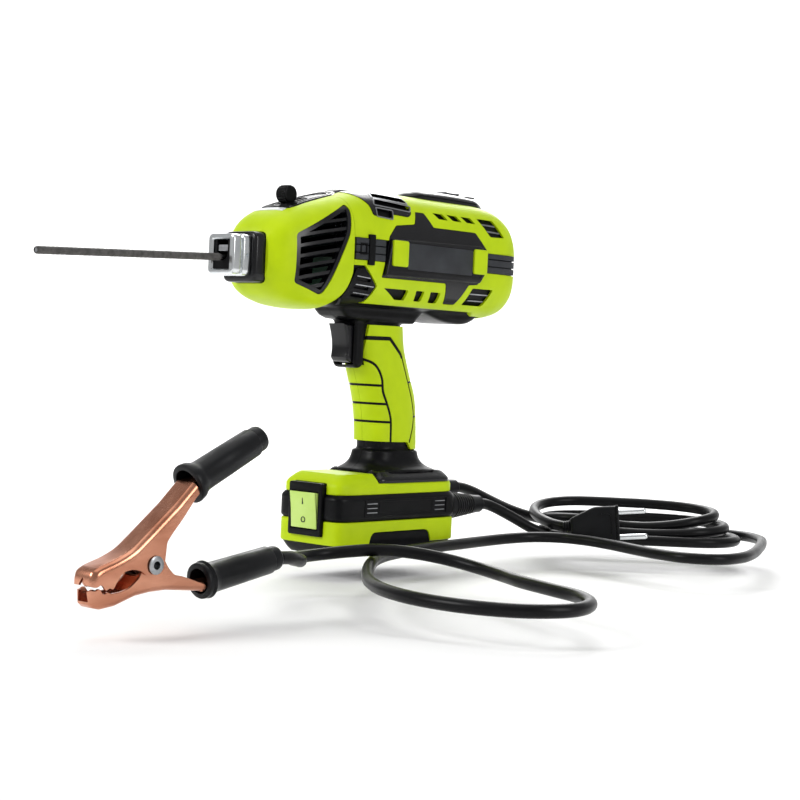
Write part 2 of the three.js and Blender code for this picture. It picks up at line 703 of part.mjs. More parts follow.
const GRIP_GROOVES = [
  [[[-27, 164.4], [-5, 164.6], [8.5, 153.4], [11, 150]], 3],
  [[[-27, 149], [-17, 144], [-10.4, 134], [-8, 124], [-3.4, 114], [0.6, 103], [2, 84]], 1.8],
  [[[10, 153], [19.6, 130], [27.4, 107], [27, 98], [22.4, 84]], 1.5],
  [[[-50, 128.8], [-9, 128.2]], 1.7],
  [[[-50, 114.8], [-4, 114]], 1.7],
  [[[-50, 101], [0.6, 100]], 1.7],
  [[[19.6, 131], [50, 136]], 1.5],
  [[[27, 104], [50, 108]], 1.5],
];

function makeGripSkin() {
  let skin = grip(0).subtract(grip(SKIN)).intersect(prismX(GRIP_REGION, half, 60));
  skin = skin.subtract(TRIGGER_POCKET);
  const surface = grip(-1).subtract(grip(1.1));
  for (const [points, width] of GRIP_GROOVES) {
    skin = skin.subtract(surface.intersect(prismX(strip(points, width), -1, 60)));
  }
  return skin;
}
const gripSkin = makeGripSkin();
add('grip_skin_left', gripSkin, 'lime');
add('grip_skin_right', mirror(gripSkin), 'lime');

// ---------- trigger ----------
function makeTrigger() {
  const face = new THREE.Shape();
  face.moveTo(-46, 174.4);
  face.bezierCurveTo(-43, 167, -40, 158, -42.4, 149);
  face.lineTo(-41, 146.6);
  face.lineTo(-33, 144.2);
  face.lineTo(-26, 144.2);
  face.lineTo(-26, 174.4);
  return prismX(face, -TRIGGER_HALF, TRIGGER_HALF, 1.6);
}
add('trigger', makeTrigger(), 'gloss');
add('trigger_switch', box(-6, 6, -14, 4, 150, 166), 'grey');

// ---------- base ----------
function basePiece(stations, inset = 0) {
  return alongZ(stations, inset, BASE.power, 20);
}
function makeBaseLower() {
  const { halfX, halfY, foot, lower } = BASE;
  const outer = basePiece([
    [foot, 0, halfX - 0.6, halfY - 0.6], [foot + 1, 0, halfX, halfY], [lower - GAP, 0, halfX, halfY],
  ]);
  const inner = basePiece([[foot + 3, 0, halfX - 4, halfY - 4], [lower + 2, 0, halfX - 4, halfY - 4]]);
  const notch = prismX(outline([[-38, 0], [-33, 17.6], [33, 17.6], [38, 0]]), halfX - 3, halfX + 5);
  return outer.subtract(inner).subtract(notch).subtract(mirror(notch));
}
function makeBaseBand() {
  const { halfX, halfY, lower, band } = BASE;
  const outer = basePiece([
    [lower, 0, halfX - 0.8, halfY - 0.8], [lower + 2, 0, halfX + 0.3, halfY + 0.3],
    [band - 3, 0, halfX + 0.3, halfY + 0.3], [band - GAP, 0, halfX - 1.6, halfY - 1.6],
  ]);
  const inner = basePiece([[lower - 2, 0, halfX - 4.5, halfY - 4.5], [band + 2, 0, halfX - 4.5, halfY - 4.5]]);
  return outer.subtract(inner);
}
function makeBaseUpper() {
  const { halfX, halfY, band, upper } = BASE;
  const outer = basePiece([
    [band, 0, halfX - 2, halfY - 2], [band + 7, 0, halfX - 2, halfY - 2],
    [upper - 2, 0, halfX - 7.5, halfY - 7.5], [upper, 0, halfX - 10, halfY - 10],
  ]);
  const inner = basePiece([[band - 2, 0, halfX - 6, halfY - 6], [band + 9, 0, halfX - 6, halfY - 6]]);
  const coverSeat = box(-60, 60, -24 - GAP, 63 + GAP, band + 8, 80);
  return outer.subtract(inner).subtract(coverSeat);
}
const bezelSeat = prismY(roundedRect(-17.3, 17.3, 13.7, 54.3, 2), -80, -59);
const [mainsHole, earthHole] = [MAINS, EARTH].map(({ x, z }) => prismY(disc(6.8, x, z), 54, 84));
const glandHoles = mainsHole.add(earthHole);
add('base_lower', makeBaseLower().subtract(bezelSeat), 'lime');
add('base_band', makeBaseBand().subtract(bezelSeat).subtract(glandHoles), 'black');
add('base_upper', makeBaseUpper().subtract(bezelSeat).subtract(glandHoles), 'lime');

function makeBaseFoot() {
  const { halfX, halfY, foot } = BASE;
  const plate = basePiece([
    [0, 0, halfX - 6, halfY - 7], [2, 0, halfX - 4.4, halfY - 5], [foot - GAP, 0, halfX - 1.4, halfY - 1.4],
  ]);
  const block = prismX(outline([[-37, 3], [-32.8, 17.2], [32.8, 17.2], [37, 3]]), halfX - 2.7, halfX - 0.4);
  const link = box(halfX - 6, halfX - 1, -36, 36, 3, foot - GAP);
  const cheek = block.add(link);
  return plate.add(cheek).add(mirror(cheek));
}
add('base_foot', makeBaseFoot(), 'black');

function makeBaseCover() {
  const stations = [
    [54.3, 19.5, 32, 43.4], [57, 19.5, 32, 43.4], [61.6, 19, 27, 41], [63.4, 18, 25.4, 38.4],
  ];
  const seat = NECK.slice(0, 4).map(([z, y, halfX, halfY]) => [z, y, halfX + 0.9, halfY + 1]);
  const neckSeat = alongZ([[50, 16, 29.4, 43], ...seat], 0, 3, 16);
  return alongZ(stations, 0, 9, 20).subtract(neckSeat.intersect(box(-60, 60, -60, 80, 61, 80)));
}
add('base_cover', makeBaseCover(), 'gloss');

const bezel = prismY(roundedRect(-17, 17, 14, 54, 1.8), -72, -66.9, 0.6)
  .subtract(prismY(roundedRect(-13.9, 13.9, 18.6, 47.4, 1), -74, -64));
add('rocker_bezel', bezel, 'black');
const ROCKER = outline([[-75.4, 47], [-73.4, 34], [-72.4, 19.4], [-68, 20.6], [-64.4, 33], [-68, 46.2]]);
add('rocker', prismX(ROCKER, -13.4, 13.4, 0.4), 'paleGreen');

// ---------- strain reliefs ----------
function makeGland({ x, z, glandEnd }, hole, wide, narrow) {
  const start = BASE.halfY - 6;
  const profile = [
    [0, start], [hole - GAP, start], [hole - GAP, BASE.halfY + 0.7], [wide, BASE.halfY + 0.7],
    [wide, BASE.halfY + 7], [narrow, glandEnd - 6], [narrow - 0.6, glandEnd], [0, glandEnd],
  ];
  return turnedY(profile, 14).translate(x, 0, z);
}
add('mains_gland', makeGland(MAINS, 6.4, 11, 7.2), 'rubber');
add('earth_gland', makeGland(EARTH, 6.4, 8.6, 6.6), 'rubber');

// ---------- inside the barrel ----------
function makeFan() {
  const hub = prismY(disc(8, 0, REAR_AXIS_Z), 108, 117);
  let rotor = hub;
  for (let i = 0; i < 7; i += 1) {
    const blade = solid(new THREE.BoxGeometry(6.4, 1.6, 17).rotateZ(0.6).translate(0, 112.5, 15.4));
    rotor = rotor.add(blade.rotate([0, (i / 7) * 360, 0]).translate([0, 0, REAR_AXIS_Z]));
  }
  return rotor.subtract(prismY(disc(2.4, 0, REAR_AXIS_Z), 100, 130));
}
add('fan_rotor', makeFan(), 'black');

function makeBoard() {
  const board = box(-28, 28, -62, 88, 202, 203.8);
  const transformer = box(-20, 20, 40, 76, 203, 230);
  const choke = box(-16, 16, -58, -34, 203, 224);
  let all = board.add(transformer).add(choke);
  for (const x of [-16, 0, 16]) {
    const capacitor = new THREE.CylinderGeometry(7, 7, 24, 12).rotateX(Math.PI / 2);
    all = all.add(solid(capacitor.translate(x, 20, 215)));
  }
  return all;
}
add('power_board', makeBoard(), 'board');

function makeHeatSink() {
  let sink = box(-22, 22, -30, 34, 236, 241);
  for (let i = 0; i < 8; i += 1) {
    const x = -21 + i * 5.7;
    sink = sink.add(box(x, x + 1.8, -30, 34, 240, 256));
  }
  const post = box(-26, -22.6 + 1.2, -12, -2, 204.1, 241);
  return sink.add(post).add(mirror(post));
}
add('heat_sink', makeHeatSink(), 'alloy');

// ---------- mains lead, coil and plug ----------
add('mains_lead', tube(MAINS_ROUTE, MAINS.r, 10, 10), 'cable');

function stadium(straight, r) {
  const shape = new THREE.Shape();
  shape.absarc(straight, 0, r, -Math.PI / 2, Math.PI / 2);
  shape.absarc(-straight, 0, r, Math.PI / 2, 1.5 * Math.PI);
  return shape;
}
const coilShape = stadium(COIL.straight, COIL.outer);
coilShape.holes.push(stadium(COIL.straight, COIL.inner));
const coilGeometry = new THREE.ExtrudeGeometry(coilShape, {
  depth: COIL.high - COIL.low, curveSegments: 10, bevelEnabled: false,
});
coilGeometry.rotateZ(THREE.MathUtils.degToRad(COIL.turn)).translate(COIL.x, COIL.y, COIL.low);
add('mains_coil', coilGeometry, 'cable');

function placePlug(geometry) {
  const [lean, nose, turn] = [-PLUG.lean, -PLUG.nose, PLUG.turn].map(THREE.MathUtils.degToRad);
  return geometry.rotateX(lean).rotateY(nose).rotateZ(turn).translate(PLUG.x, PLUG.y, PLUG.z);
}
const PLUG_OUTLINE = [
  [0, -15.5],
  [-20, -15.5],
  [-36, -8.5],
  [-46, -6.5],
  [-46, 6.5],
  [-36, 8.5],
  [-20, 15.5],
  [0, 15.5],
];
const PLUG_EDGE = 2.5;
const plugGeometry = new THREE.ExtrudeGeometry(outline(PLUG_OUTLINE), {
  depth: PLUG.depth - 2 * PLUG_EDGE,
  bevelThickness: PLUG_EDGE,
  bevelSize: PLUG_EDGE,
  bevelOffset: -PLUG_EDGE,
  bevelSegments: 2,
});
plugGeometry.rotateX(Math.PI / 2).translate(0, PLUG.depth / 2 - PLUG_EDGE, 0);
add('plug_body', placePlug(plugGeometry), 'rubber');

function makePlugPin(z) {
  const { pinR, pinLength } = PLUG;
  const profile = [[0, GAP], [pinR, GAP], [pinR, pinLength - 1.4], [pinR - 0.8, pinLength], [0, pinLength]];
  return placePlug(turnedY(profile, 12).rotateZ(-Math.PI / 2).translate(0, 0, z));
}
add('plug_pin_lower', makePlugPin(-PLUG.pitch / 2), 'chrome');
add('plug_pin_upper', makePlugPin(PLUG.pitch / 2), 'chrome');

// ---------- earth lead ----------
add('earth_lead', tube(EARTH_ROUTE, EARTH.r, 78, 8), 'cable');

// ---------- earth clamp, drawn about its rivet in (y, z) ----------
const UPPER_ARM = [
  [-45.2, -2], [-45.6, -10], [-42, -10.4], [-39, -8.6], [-35.6, -12.8], [-33, -11], [-30.4, -12.4],
  [-27.6, -7.4], [-23, -2.6], [-16.6, -1.6], [-11, -2.6], [-6, -5.6], [0, -5], [7, -3.4], [8, 6],
  [8.6, 13], [13, 18.4], [20, 26], [29.6, 38], [37, 45], [34, 52], [27.5, 46.2], [15, 34.6],
  [1.5, 23.8], [-9.5, 15], [-17, 9.5], [-27, 5], [-42, 0],
];
const LOWER_ARM = [
  [-45, -12.2], [-45, -20.2], [-41.6, -22.6], [-36.4, -23.8], [-26, -22.6], [-11, -17.8], [0, -16.4],
  [12, -16], [46, -19], [56, -20], [56, -17.4], [45, -15.2], [23.7, -8.3], [17, -6.9], [12.4, -2.7],
  [9, 2.4], [5, 4.6], [0, 5.2], [-4.6, 3], [-7.6, -2], [-10, -7.2], [-16.6, -12.4], [-24, -14.4],
  [-30.4, -14.8], [-33, -13.4], [-35.6, -15.2], [-39, -11], [-42, -12.8],
];
const UPPER_GRIP = { y: 31, z: 45.4, angle: 25.5, length: 65, r: 9.8, flange: 12.8 };
const LOWER_GRIP = { y: 43, z: -13.4, angle: 9.5, length: 66, r: 9.4, flange: 11.2 };

function makeArm(points, armHalf, inner) {
  const outer = prismX(outline(points), -armHalf, armHalf);
  const hollow = prismX(outline(inner), -armHalf + CLAMP.sheet, armHalf - CLAMP.sheet);
  const hole = prismX(disc(CLAMP.rivetR + GAP), -40, 40);
  return outer.subtract(hollow).subtract(hole).translate([CLAMP.x, CLAMP.y, CLAMP.z]);
}
const UPPER_HOLLOW = [
  [-41.4, -1.7], [-43.8, -4], [-43.8, -30], [40, -30], [60, 45], [40, 55.4], [28.6, 45], [16.1, 33.3],
  [2.6, 22.4], [-8.5, 13.6], [-16.2, 8], [-26.4, 3.4],
];
const LOWER_HOLLOW = [
  [-43.4, -5], [-43.4, -19.2], [-40.8, -21], [-36.2, -22.2], [-25.8, -21], [-11, -16.2], [0, -14.8],
  [12, -14.4], [46, -17.4], [70, -19.5], [70, 20], [-43.4, 20],
];

function gripFrame({ y, z, angle }, shape) {
  return shape.rotate([angle, 0, 0]).translate([CLAMP.x, CLAMP.y + y, CLAMP.z + z]);
}
function gripSlot(halfX, low, high, depth) {
  return box(-halfX, halfX, -4, depth, low, high);
}
const UPPER_TANG = { halfX: 6.4, low: -4.4, high: 2.2 };
const LOWER_TANG = { halfX: 5.6, low: -5.2, high: 0.6 };

function makeClampArm(points, armHalf, hollow, gripSpec, tang) {
  const arm = makeArm(points, armHalf, hollow);
  const tip = gripFrame(gripSpec, box(-tang.halfX, tang.halfX, -3, 40, tang.low, tang.high));
  const reach = gripFrame(gripSpec, box(-40, 40, -1, 90, -60, 60));
  return arm.subtract(reach).add(tip);
}

function makeClampGrip(spec, tang) {
  const { length, r, flange } = spec;
  const profile = [
    [0, 0], [flange, 0], [flange, 3], [r + 1.6, 6], [r, 10], [r - 0.6, length - 8], [r - 1.4, length - 7.4],
    [r - 1.6, length - 1], [r - 3, length], [0, length],
  ];
  const body = solid(turnedY(profile, 18));
  const slot = gripSlot(tang.halfX + GAP, tang.low - GAP, tang.high + GAP, 42);
  return gripFrame(spec, body.subtract(slot));
}
const { halfWidth } = CLAMP;
const upperArm = makeClampArm(UPPER_ARM, halfWidth, UPPER_HOLLOW, UPPER_GRIP, UPPER_TANG);
const lowerArm = makeClampArm(LOWER_ARM, halfWidth - 2.2, LOWER_HOLLOW, LOWER_GRIP, LOWER_TANG);
add('clamp_upper_arm', upperArm, 'copper');
add('clamp_lower_arm', lowerArm, 'copper');
add('clamp_grip_upper', makeClampGrip(UPPER_GRIP, UPPER_TANG), 'rubber');
add('clamp_grip_lower', makeClampGrip(LOWER_GRIP, LOWER_TANG), 'rubber');

const rivetProfile = [
  [0, -11.4], [5.4, -11.4], [5.6, -10.2], [CLAMP.rivetR, -10.1], [CLAMP.rivetR, 10.1], [5.6, 10.2],
  [5.4, 11.4], [0, 11.4],
];
const rivet = turnedY(rivetProfile, 16).rotateZ(-Math.PI / 2);
add('clamp_pivot', rivet.translate(CLAMP.x, CLAMP.y, CLAMP.z), 'steel');

export default root;
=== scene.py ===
"""Looks of the hand-held arc welder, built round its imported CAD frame.

Shapes are drawn in millimetres, in the CAD's own frame, and put into metres when a piece is finished.
"""

import json
import math

import bmesh
import bpy
import numpy as np
from mathutils import Matrix, Vector


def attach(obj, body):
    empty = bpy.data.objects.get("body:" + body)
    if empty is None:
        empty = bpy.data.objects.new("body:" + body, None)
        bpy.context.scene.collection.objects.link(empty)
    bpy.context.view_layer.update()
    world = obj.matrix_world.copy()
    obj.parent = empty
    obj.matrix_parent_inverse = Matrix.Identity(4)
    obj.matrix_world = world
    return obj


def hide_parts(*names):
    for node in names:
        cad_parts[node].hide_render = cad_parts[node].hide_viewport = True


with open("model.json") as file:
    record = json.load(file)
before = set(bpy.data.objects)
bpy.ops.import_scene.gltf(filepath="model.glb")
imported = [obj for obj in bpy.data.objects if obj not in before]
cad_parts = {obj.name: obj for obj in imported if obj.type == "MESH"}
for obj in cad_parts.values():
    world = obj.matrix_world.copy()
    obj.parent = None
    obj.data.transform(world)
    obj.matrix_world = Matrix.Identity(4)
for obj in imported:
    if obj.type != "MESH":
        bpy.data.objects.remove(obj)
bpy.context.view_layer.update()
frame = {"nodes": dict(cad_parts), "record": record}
scene = bpy.context.scene
scene.view_settings.view_transform = "Standard"
MM = 0.001


# ---------- camera ----------
CAMERA_ANGLES = {"azimuth": 41.35, "elevation": 1.51, "roll": 2.55}
CAMERA_PLACE = (0.93252, -1.02845, 0.15393)


def make_camera():
    azimuth, elevation, roll = (math.radians(a) for a in CAMERA_ANGLES.values())
    back = Vector((
        math.sin(azimuth) * math.cos(elevation),
        -math.cos(azimuth) * math.cos(elevation),
        math.sin(elevation),
    ))
    level = (-back).cross(Vector((0, 0, 1))).normalized()
    upright = level.cross(-back)
    right = level * math.cos(roll) + upright * math.sin(roll)
    up = upright * math.cos(roll) - level * math.sin(roll)
    camera = bpy.data.objects.new("camera", bpy.data.cameras.new("camera"))
    camera.data.lens = 80.1
    camera.data.sensor_width = 36
    place = Matrix((right, up, back)).transposed().to_4x4()
    place.translation = CAMERA_PLACE
    camera.matrix_world = place
    scene.collection.objects.link(camera)
    scene.camera = camera


make_camera()


# ---------- shapes: numbers ----------
def smooth_rows(rows, step):
    """Rows of a table of stations, made dense along their first column by a monotone cubic."""
    rows = np.array(rows, float)
    x, values = rows[:, 0], rows[:, 1:]
    h = np.diff(x)
    slope = np.diff(values, axis=0) / h[:, None]
    tangent = np.zeros_like(values)
    tangent[0], tangent[-1] = slope[0], slope[-1]
    for i in range(1, len(x) - 1):
        same = slope[i - 1] * slope[i] > 0
        w1, w2 = 2 * h[i] + h[i - 1], h[i] + 2 * h[i - 1]
        with np.errstate(divide="ignore", invalid="ignore"):
            mean = (w1 + w2) / (w1 / slope[i - 1] + w2 / slope[i])
        tangent[i] = np.where(same, mean, 0)
    out = []
    for i in range(len(h)):
        count = max(1, round(h[i] / step))
        for k in range(count):
            t = k / count
            a = (1 + 2 * t) * (1 - t) ** 2 * values[i] + t * (1 - t) ** 2 * h[i] * tangent[i]
            b = t * t * (3 - 2 * t) * values[i + 1] + t * t * (t - 1) * h[i] * tangent[i + 1]
            out.append(np.concatenate([[x[i] + t * h[i]], a + b]))
    out.append(rows[-1])
    return np.array(out)


def superellipse(half_a, half_b, power, count):
    angle = (np.arange(count) + 0.5) / count * 2 * np.pi
    c, s = np.cos(angle), np.sin(angle)
    return np.stack([
        half_a * np.sign(c) * np.abs(c) ** (2 / power),
        half_b * np.sign(s) * np.abs(s) ** (2 / power),
    ], axis=1)


def rect(a0, a1, b0, b1, r=0.0):
    corners = [(a0, b0), (a1, b0), (a1, b1), (a0, b1)]
    return fillet(corners, r, 5) if r else corners


def fillet(points, r, steps=4):
    """A closed outline with each corner rounded by about r."""
    points = [np.array(p, float) for p in points]
    out = []
    for i, p in enumerate(points):
        before, after = points[i - 1] - p, points[(i + 1) % len(points)] - p
        la, lb = np.linalg.norm(before), np.linalg.norm(after)
        reach = min(r, 0.45 * la, 0.45 * lb)
        start, end = p + before / la * reach, p + after / lb * reach
        for k in range(steps + 1):
            t = k / steps
            out.append(tuple((1 - t) ** 2 * start + 2 * t * (1 - t) * p + t * t * end))
    return out


def circle(r, a=0.0, b=0.0, count=48):
    angles = [2 * math.pi * i / count for i in range(count)]
    return [(a + r * math.cos(t), b + r * math.sin(t)) for t in angles]


def offset(points, by):
    """The outline moved inwards by a distance, or outwards if it is negative."""
    p = np.array(points, float)
    edge = np.roll(p, -1, axis=0) - p
    length = np.linalg.norm(edge, axis=1, keepdims=True)
    edge = edge / np.maximum(length, 1e-9)
    area = np.sum(p[:, 0] * np.roll(p[:, 1], -1) - np.roll(p[:, 0], -1) * p[:, 1])
    normal = np.stack([-edge[:, 1], edge[:, 0]], axis=1) * np.sign(area)
    both = normal + np.roll(normal, 1, axis=0)
    both /= np.maximum(np.linalg.norm(both, axis=1, keepdims=True), 1e-9)
    cosine = np.maximum(np.sum(both * normal, axis=1, keepdims=True), 0.35)
    return [tuple(q) for q in p + both * by / cosine]


def strip(points, width):
    """A band of one width along a polyline, as a closed outline."""
    p = np.array(points, float)
    along = np.gradient(p, axis=0)
    along /= np.linalg.norm(along, axis=1, keepdims=True)
    side = np.stack([-along[:, 1], along[:, 0]], axis=1) * width / 2
    return [tuple(q) for q in np.concatenate([p + side, (p - side)[::-1]])]


def catmull(points, spacing):
    """A dense centripetal spline through points."""
    p = [np.array(q, float) for q in points]
    p = [2 * p[0] - p[1], *p, 2 * p[-1] - p[-2]]
    out = []
    for p0, p1, p2, p3 in zip(p, p[1:], p[2:], p[3:]):
        t0 = 0.0
        t1 = t0 + np.linalg.norm(p1 - p0) ** 0.5
        t2 = t1 + np.linalg.norm(p2 - p1) ** 0.5
        t3 = t2 + np.linalg.norm(p3 - p2) ** 0.5
        count = max(1, round(np.linalg.norm(p2 - p1) / spacing))
        for k in range(count):
            t = t1 + (t2 - t1) * k / count
            a1 = (t1 - t) / (t1 - t0) * p0 + (t - t0) / (t1 - t0) * p1
            a2 = (t2 - t) / (t2 - t1) * p1 + (t - t1) / (t2 - t1) * p2
            a3 = (t3 - t) / (t3 - t2) * p2 + (t - t2) / (t3 - t2) * p3
            b1 = (t2 - t) / (t2 - t0) * a1 + (t - t0) / (t2 - t0) * a2
            b2 = (t3 - t) / (t3 - t1) * a2 + (t - t1) / (t3 - t1) * a3
            out.append((t2 - t) / (t2 - t1) * b1 + (t - t1) / (t2 - t1) * b2)
    out.append(p[-2])
    return np.array(out)


# ---------- shapes: bodies ----------
def body_from(verts, faces):
    mesh = bpy.data.meshes.new("made")
    mesh.from_pydata([tuple(v) for v in verts], [], faces)
    edit = bmesh.new()
    edit.from_mesh(mesh)
    if edit.calc_volume(signed=True) < 0:
        bmesh.ops.reverse_faces(edit, faces=edit.faces)
    edit.to_mesh(mesh)
    edit.free()
    made = bpy.data.objects.new("made", mesh)
    scene.collection.objects.link(made)
    return made


def loft(rings, closed=False):
    """A skin over rings of equally many points, capped at its ends or closed on itself."""
    rings = [np.array(r, float) for r in rings]
    count, total = len(rings[0]), len(rings)
    faces = []
    for r in range(total if closed else total - 1):
        lower, upper = r * count, ((r + 1) % total) * count
        for i in range(count):
            k = (i + 1) % count
            faces.append((lower + i, lower + k, upper + k, upper + i))
    if not closed:
        faces.append(tuple(range(count))[::-1])
        faces.append(tuple(range((total - 1) * count, total * count)))
    return body_from(np.concatenate(rings), faces)


AXES = {"X": lambda a, b, c: (c, a, b), "Y": lambda a, b, c: (a, c, b), "Z": lambda a, b, c: (a, b, c)}


def prism(points, low, high, axis="X", edge=0.0, steps=3):
    """An outline pushed along an axis, with both rims rounded by edge."""
    put = AXES[axis]
    levels = [(0, low), (0, high)]
    if edge:
        turns = [math.pi / 2 * i / steps for i in range(steps + 1)]
        start = [(edge * (1 - math.sin(t)), edge * (1 - math.cos(t))) for t in turns]
        levels = [(i, low + d) for i, d in start] + [(i, high - d) for i, d in reversed(start)]
    rings = []
    for inset, level in levels:
        ring = offset(points, inset) if inset else points
        rings.append([put(a, b, level) for a, b in ring])
    return loft(rings)


def block(x0, x1, y0, y1, z0, z1, edge=0.0):
    return prism(rect(x0, x1, y0, y1), z0, z1, "Z", edge)


def along_y(stations, inset, power, count=128, step=2.5):
    rows = smooth_rows(stations, step)
    rings = []
    for i, (y, half, low, high) in enumerate(rows):
        shift = inset if i == 0 else -inset if i == len(rows) - 1 else 0
        section = superellipse(half - inset, (high - low) / 2 - inset, power, count)
        rings.append([(a, y + shift, (low + high) / 2 + b) for a, b in section])
    return loft(rings)


def along_z(stations, inset, power, count=128, step=2.0, shape=None):
    rings = []
    for z, y, half_x, half_y in smooth_rows(stations, step):
        section = superellipse(half_x - inset, half_y - inset, power, count)
        ring = [(a, y + b, z) for a, b in section]
        rings.append([shape(p, y, half_y) for p in ring] if shape else ring)
    return loft(rings)


def turned(profile, axis="Y", count=48, wave=None, closed=False):
    """A body of revolution from (radius, level) pairs, capped at its ends or closed into a ring."""
    put = AXES[axis]
    angles = [2 * math.pi * i / count for i in range(count)]
    rings = []
    for r, level in profile:
        radii = [r + (wave(t, level) if wave else 0) for t in angles]
        rings.append([put(q * math.cos(t), q * math.sin(t), level) for q, t in zip(radii, angles)])
    return loft(rings, closed)


def applied(made):
    """The body with its modifiers applied."""
    graph = bpy.context.evaluated_depsgraph_get()
    mesh = bpy.data.meshes.new_from_object(made.evaluated_get(graph))
    made.modifiers.clear()
    made.data = mesh
    return made


def combine(made, tools, operation):
    for tool in tools:
        step = made.modifiers.new("step", "BOOLEAN")
        step.operation = operation
        step.solver = "MANIFOLD"
        step.object = tool
    applied(made)
    for tool in tools:
        bpy.data.objects.remove(tool)
    return made


def cut(made, *tools):
    return combine(made, tools, "DIFFERENCE")


def join(made, *tools):
    return combine(made, tools, "UNION")


def common(made, *tools):
    return combine(made, tools, "INTERSECT")


def copy(made):
    twin = made.copy()
    twin.data = made.data.copy()
    scene.collection.objects.link(twin)
    return twin


def mirrored(made):
    twin = copy(made)
    twin.data.transform(Matrix.Scale(-1, 4, (1, 0, 0)))
    twin.data.flip_normals()
    return twin


def moved(made, x=0.0, y=0.0, z=0.0, turn=0.0, axis="X"):
    made.data.transform(Matrix.Translation((x, y, z)) @ Matrix.Rotation(math.radians(turn), 4, axis))
    return made


def blended(made, voxel, rounds):
    """The body remeshed and relaxed, so that its joined forms run into each other."""
    remesh = made.modifiers.new("remesh", "REMESH")
    remesh.mode = "VOXEL"
    remesh.voxel_size = voxel
    relax = made.modifiers.new("relax", "SMOOTH")
    relax.factor = 0.5
    relax.iterations = rounds
    return applied(made)


def wire_along(name, points, radius, resolution):
    """A round wire of one radius along points, as a curve."""
    data = bpy.data.curves.new(name, "CURVE")
    data.dimensions = "3D"
    data.bevel_depth = radius
    data.bevel_resolution = resolution
    data.use_fill_caps = True
    spline = data.splines.new("POLY")
    spline.points.add(len(points) - 1)
    for point, place in zip(spline.points, points):
        point.co = (*place, 1)
    spline.use_smooth = True
    wire = bpy.data.objects.new(name, data)
    scene.collection.objects.link(wire)
    return wire


# ---------- materials ----------
def tree_of(name):
    material = bpy.data.materials.new(name)
    material.use_nodes = True
    nodes = material.node_tree.nodes
    return material, nodes, material.node_tree.links, nodes["Principled BSDF"]


def noise_node(nodes, links, scale, detail=4.0, stretch=None):
    place = nodes.new("ShaderNodeTexCoord")
    texture = nodes.new("ShaderNodeTexNoise")
    texture.inputs["Scale"].default_value = scale
    texture.inputs["Detail"].default_value = detail
    source = place.outputs["Object"]
    if stretch:
        mapping = nodes.new("ShaderNodeMapping")
        mapping.inputs["Scale"].default_value = stretch
        links.new(source, mapping.inputs["Vector"])
        source = mapping.outputs["Vector"]
    links.new(source, texture.inputs["Vector"])
    return texture


def ramp_node(nodes, links, source, stops):
    ramp = nodes.new("ShaderNodeValToRGB")
    ramp.color_ramp.elements[0].position, ramp.color_ramp.elements[0].color = stops[0]
    ramp.color_ramp.elements[1].position, ramp.color_ramp.elements[1].color = stops[-1]
    for position, colour in stops[1:-1]:
        ramp.color_ramp.elements.new(position).color = colour
    links.new(source, ramp.inputs["Fac"])
    return ramp


def finish_material(name, dark, light, rough, grain, depth, metal=0.0, coat=0.0, wear=60.0,
                    stretch=None, spread=0.06, specular=0.5):
    """Colour that drifts between two tones, roughness that drifts about one value, and a fine grain."""
    material, nodes, links, shader = tree_of(name)
    drift = noise_node(nodes, links, wear, 5.0, stretch)
    colours = ramp_node(nodes, links, drift.outputs["Fac"], [(0.3, (*dark, 1)), (0.7, (*light, 1))])
    links.new(colours.outputs["Color"], shader.inputs["Base Color"])
    smears = noise_node(nodes, links, wear * 2.3, 3.0, stretch)
    span = nodes.new("ShaderNodeMapRange")
    span.inputs["To Min"].default_value = rough - spread
    span.inputs["To Max"].default_value = rough + spread
    links.new(smears.outputs["Fac"], span.inputs["Value"])
    links.new(span.outputs["Result"], shader.inputs["Roughness"])
    fine = noise_node(nodes, links, grain, 2.0, stretch)
    bump = nodes.new("ShaderNodeBump")
    bump.inputs["Strength"].default_value = depth
    bump.inputs["Distance"].default_value = 0.0002
    links.new(fine.outputs["Fac"], bump.inputs["Height"])
    links.new(bump.outputs["Normal"], shader.inputs["Normal"])
    shader.inputs["Metallic"].default_value = metal
    shader.inputs["Coat Weight"].default_value = coat
    shader.inputs["Coat Roughness"].default_value = 0.12
    shader.inputs["Specular IOR Level"].default_value = specular
    return material


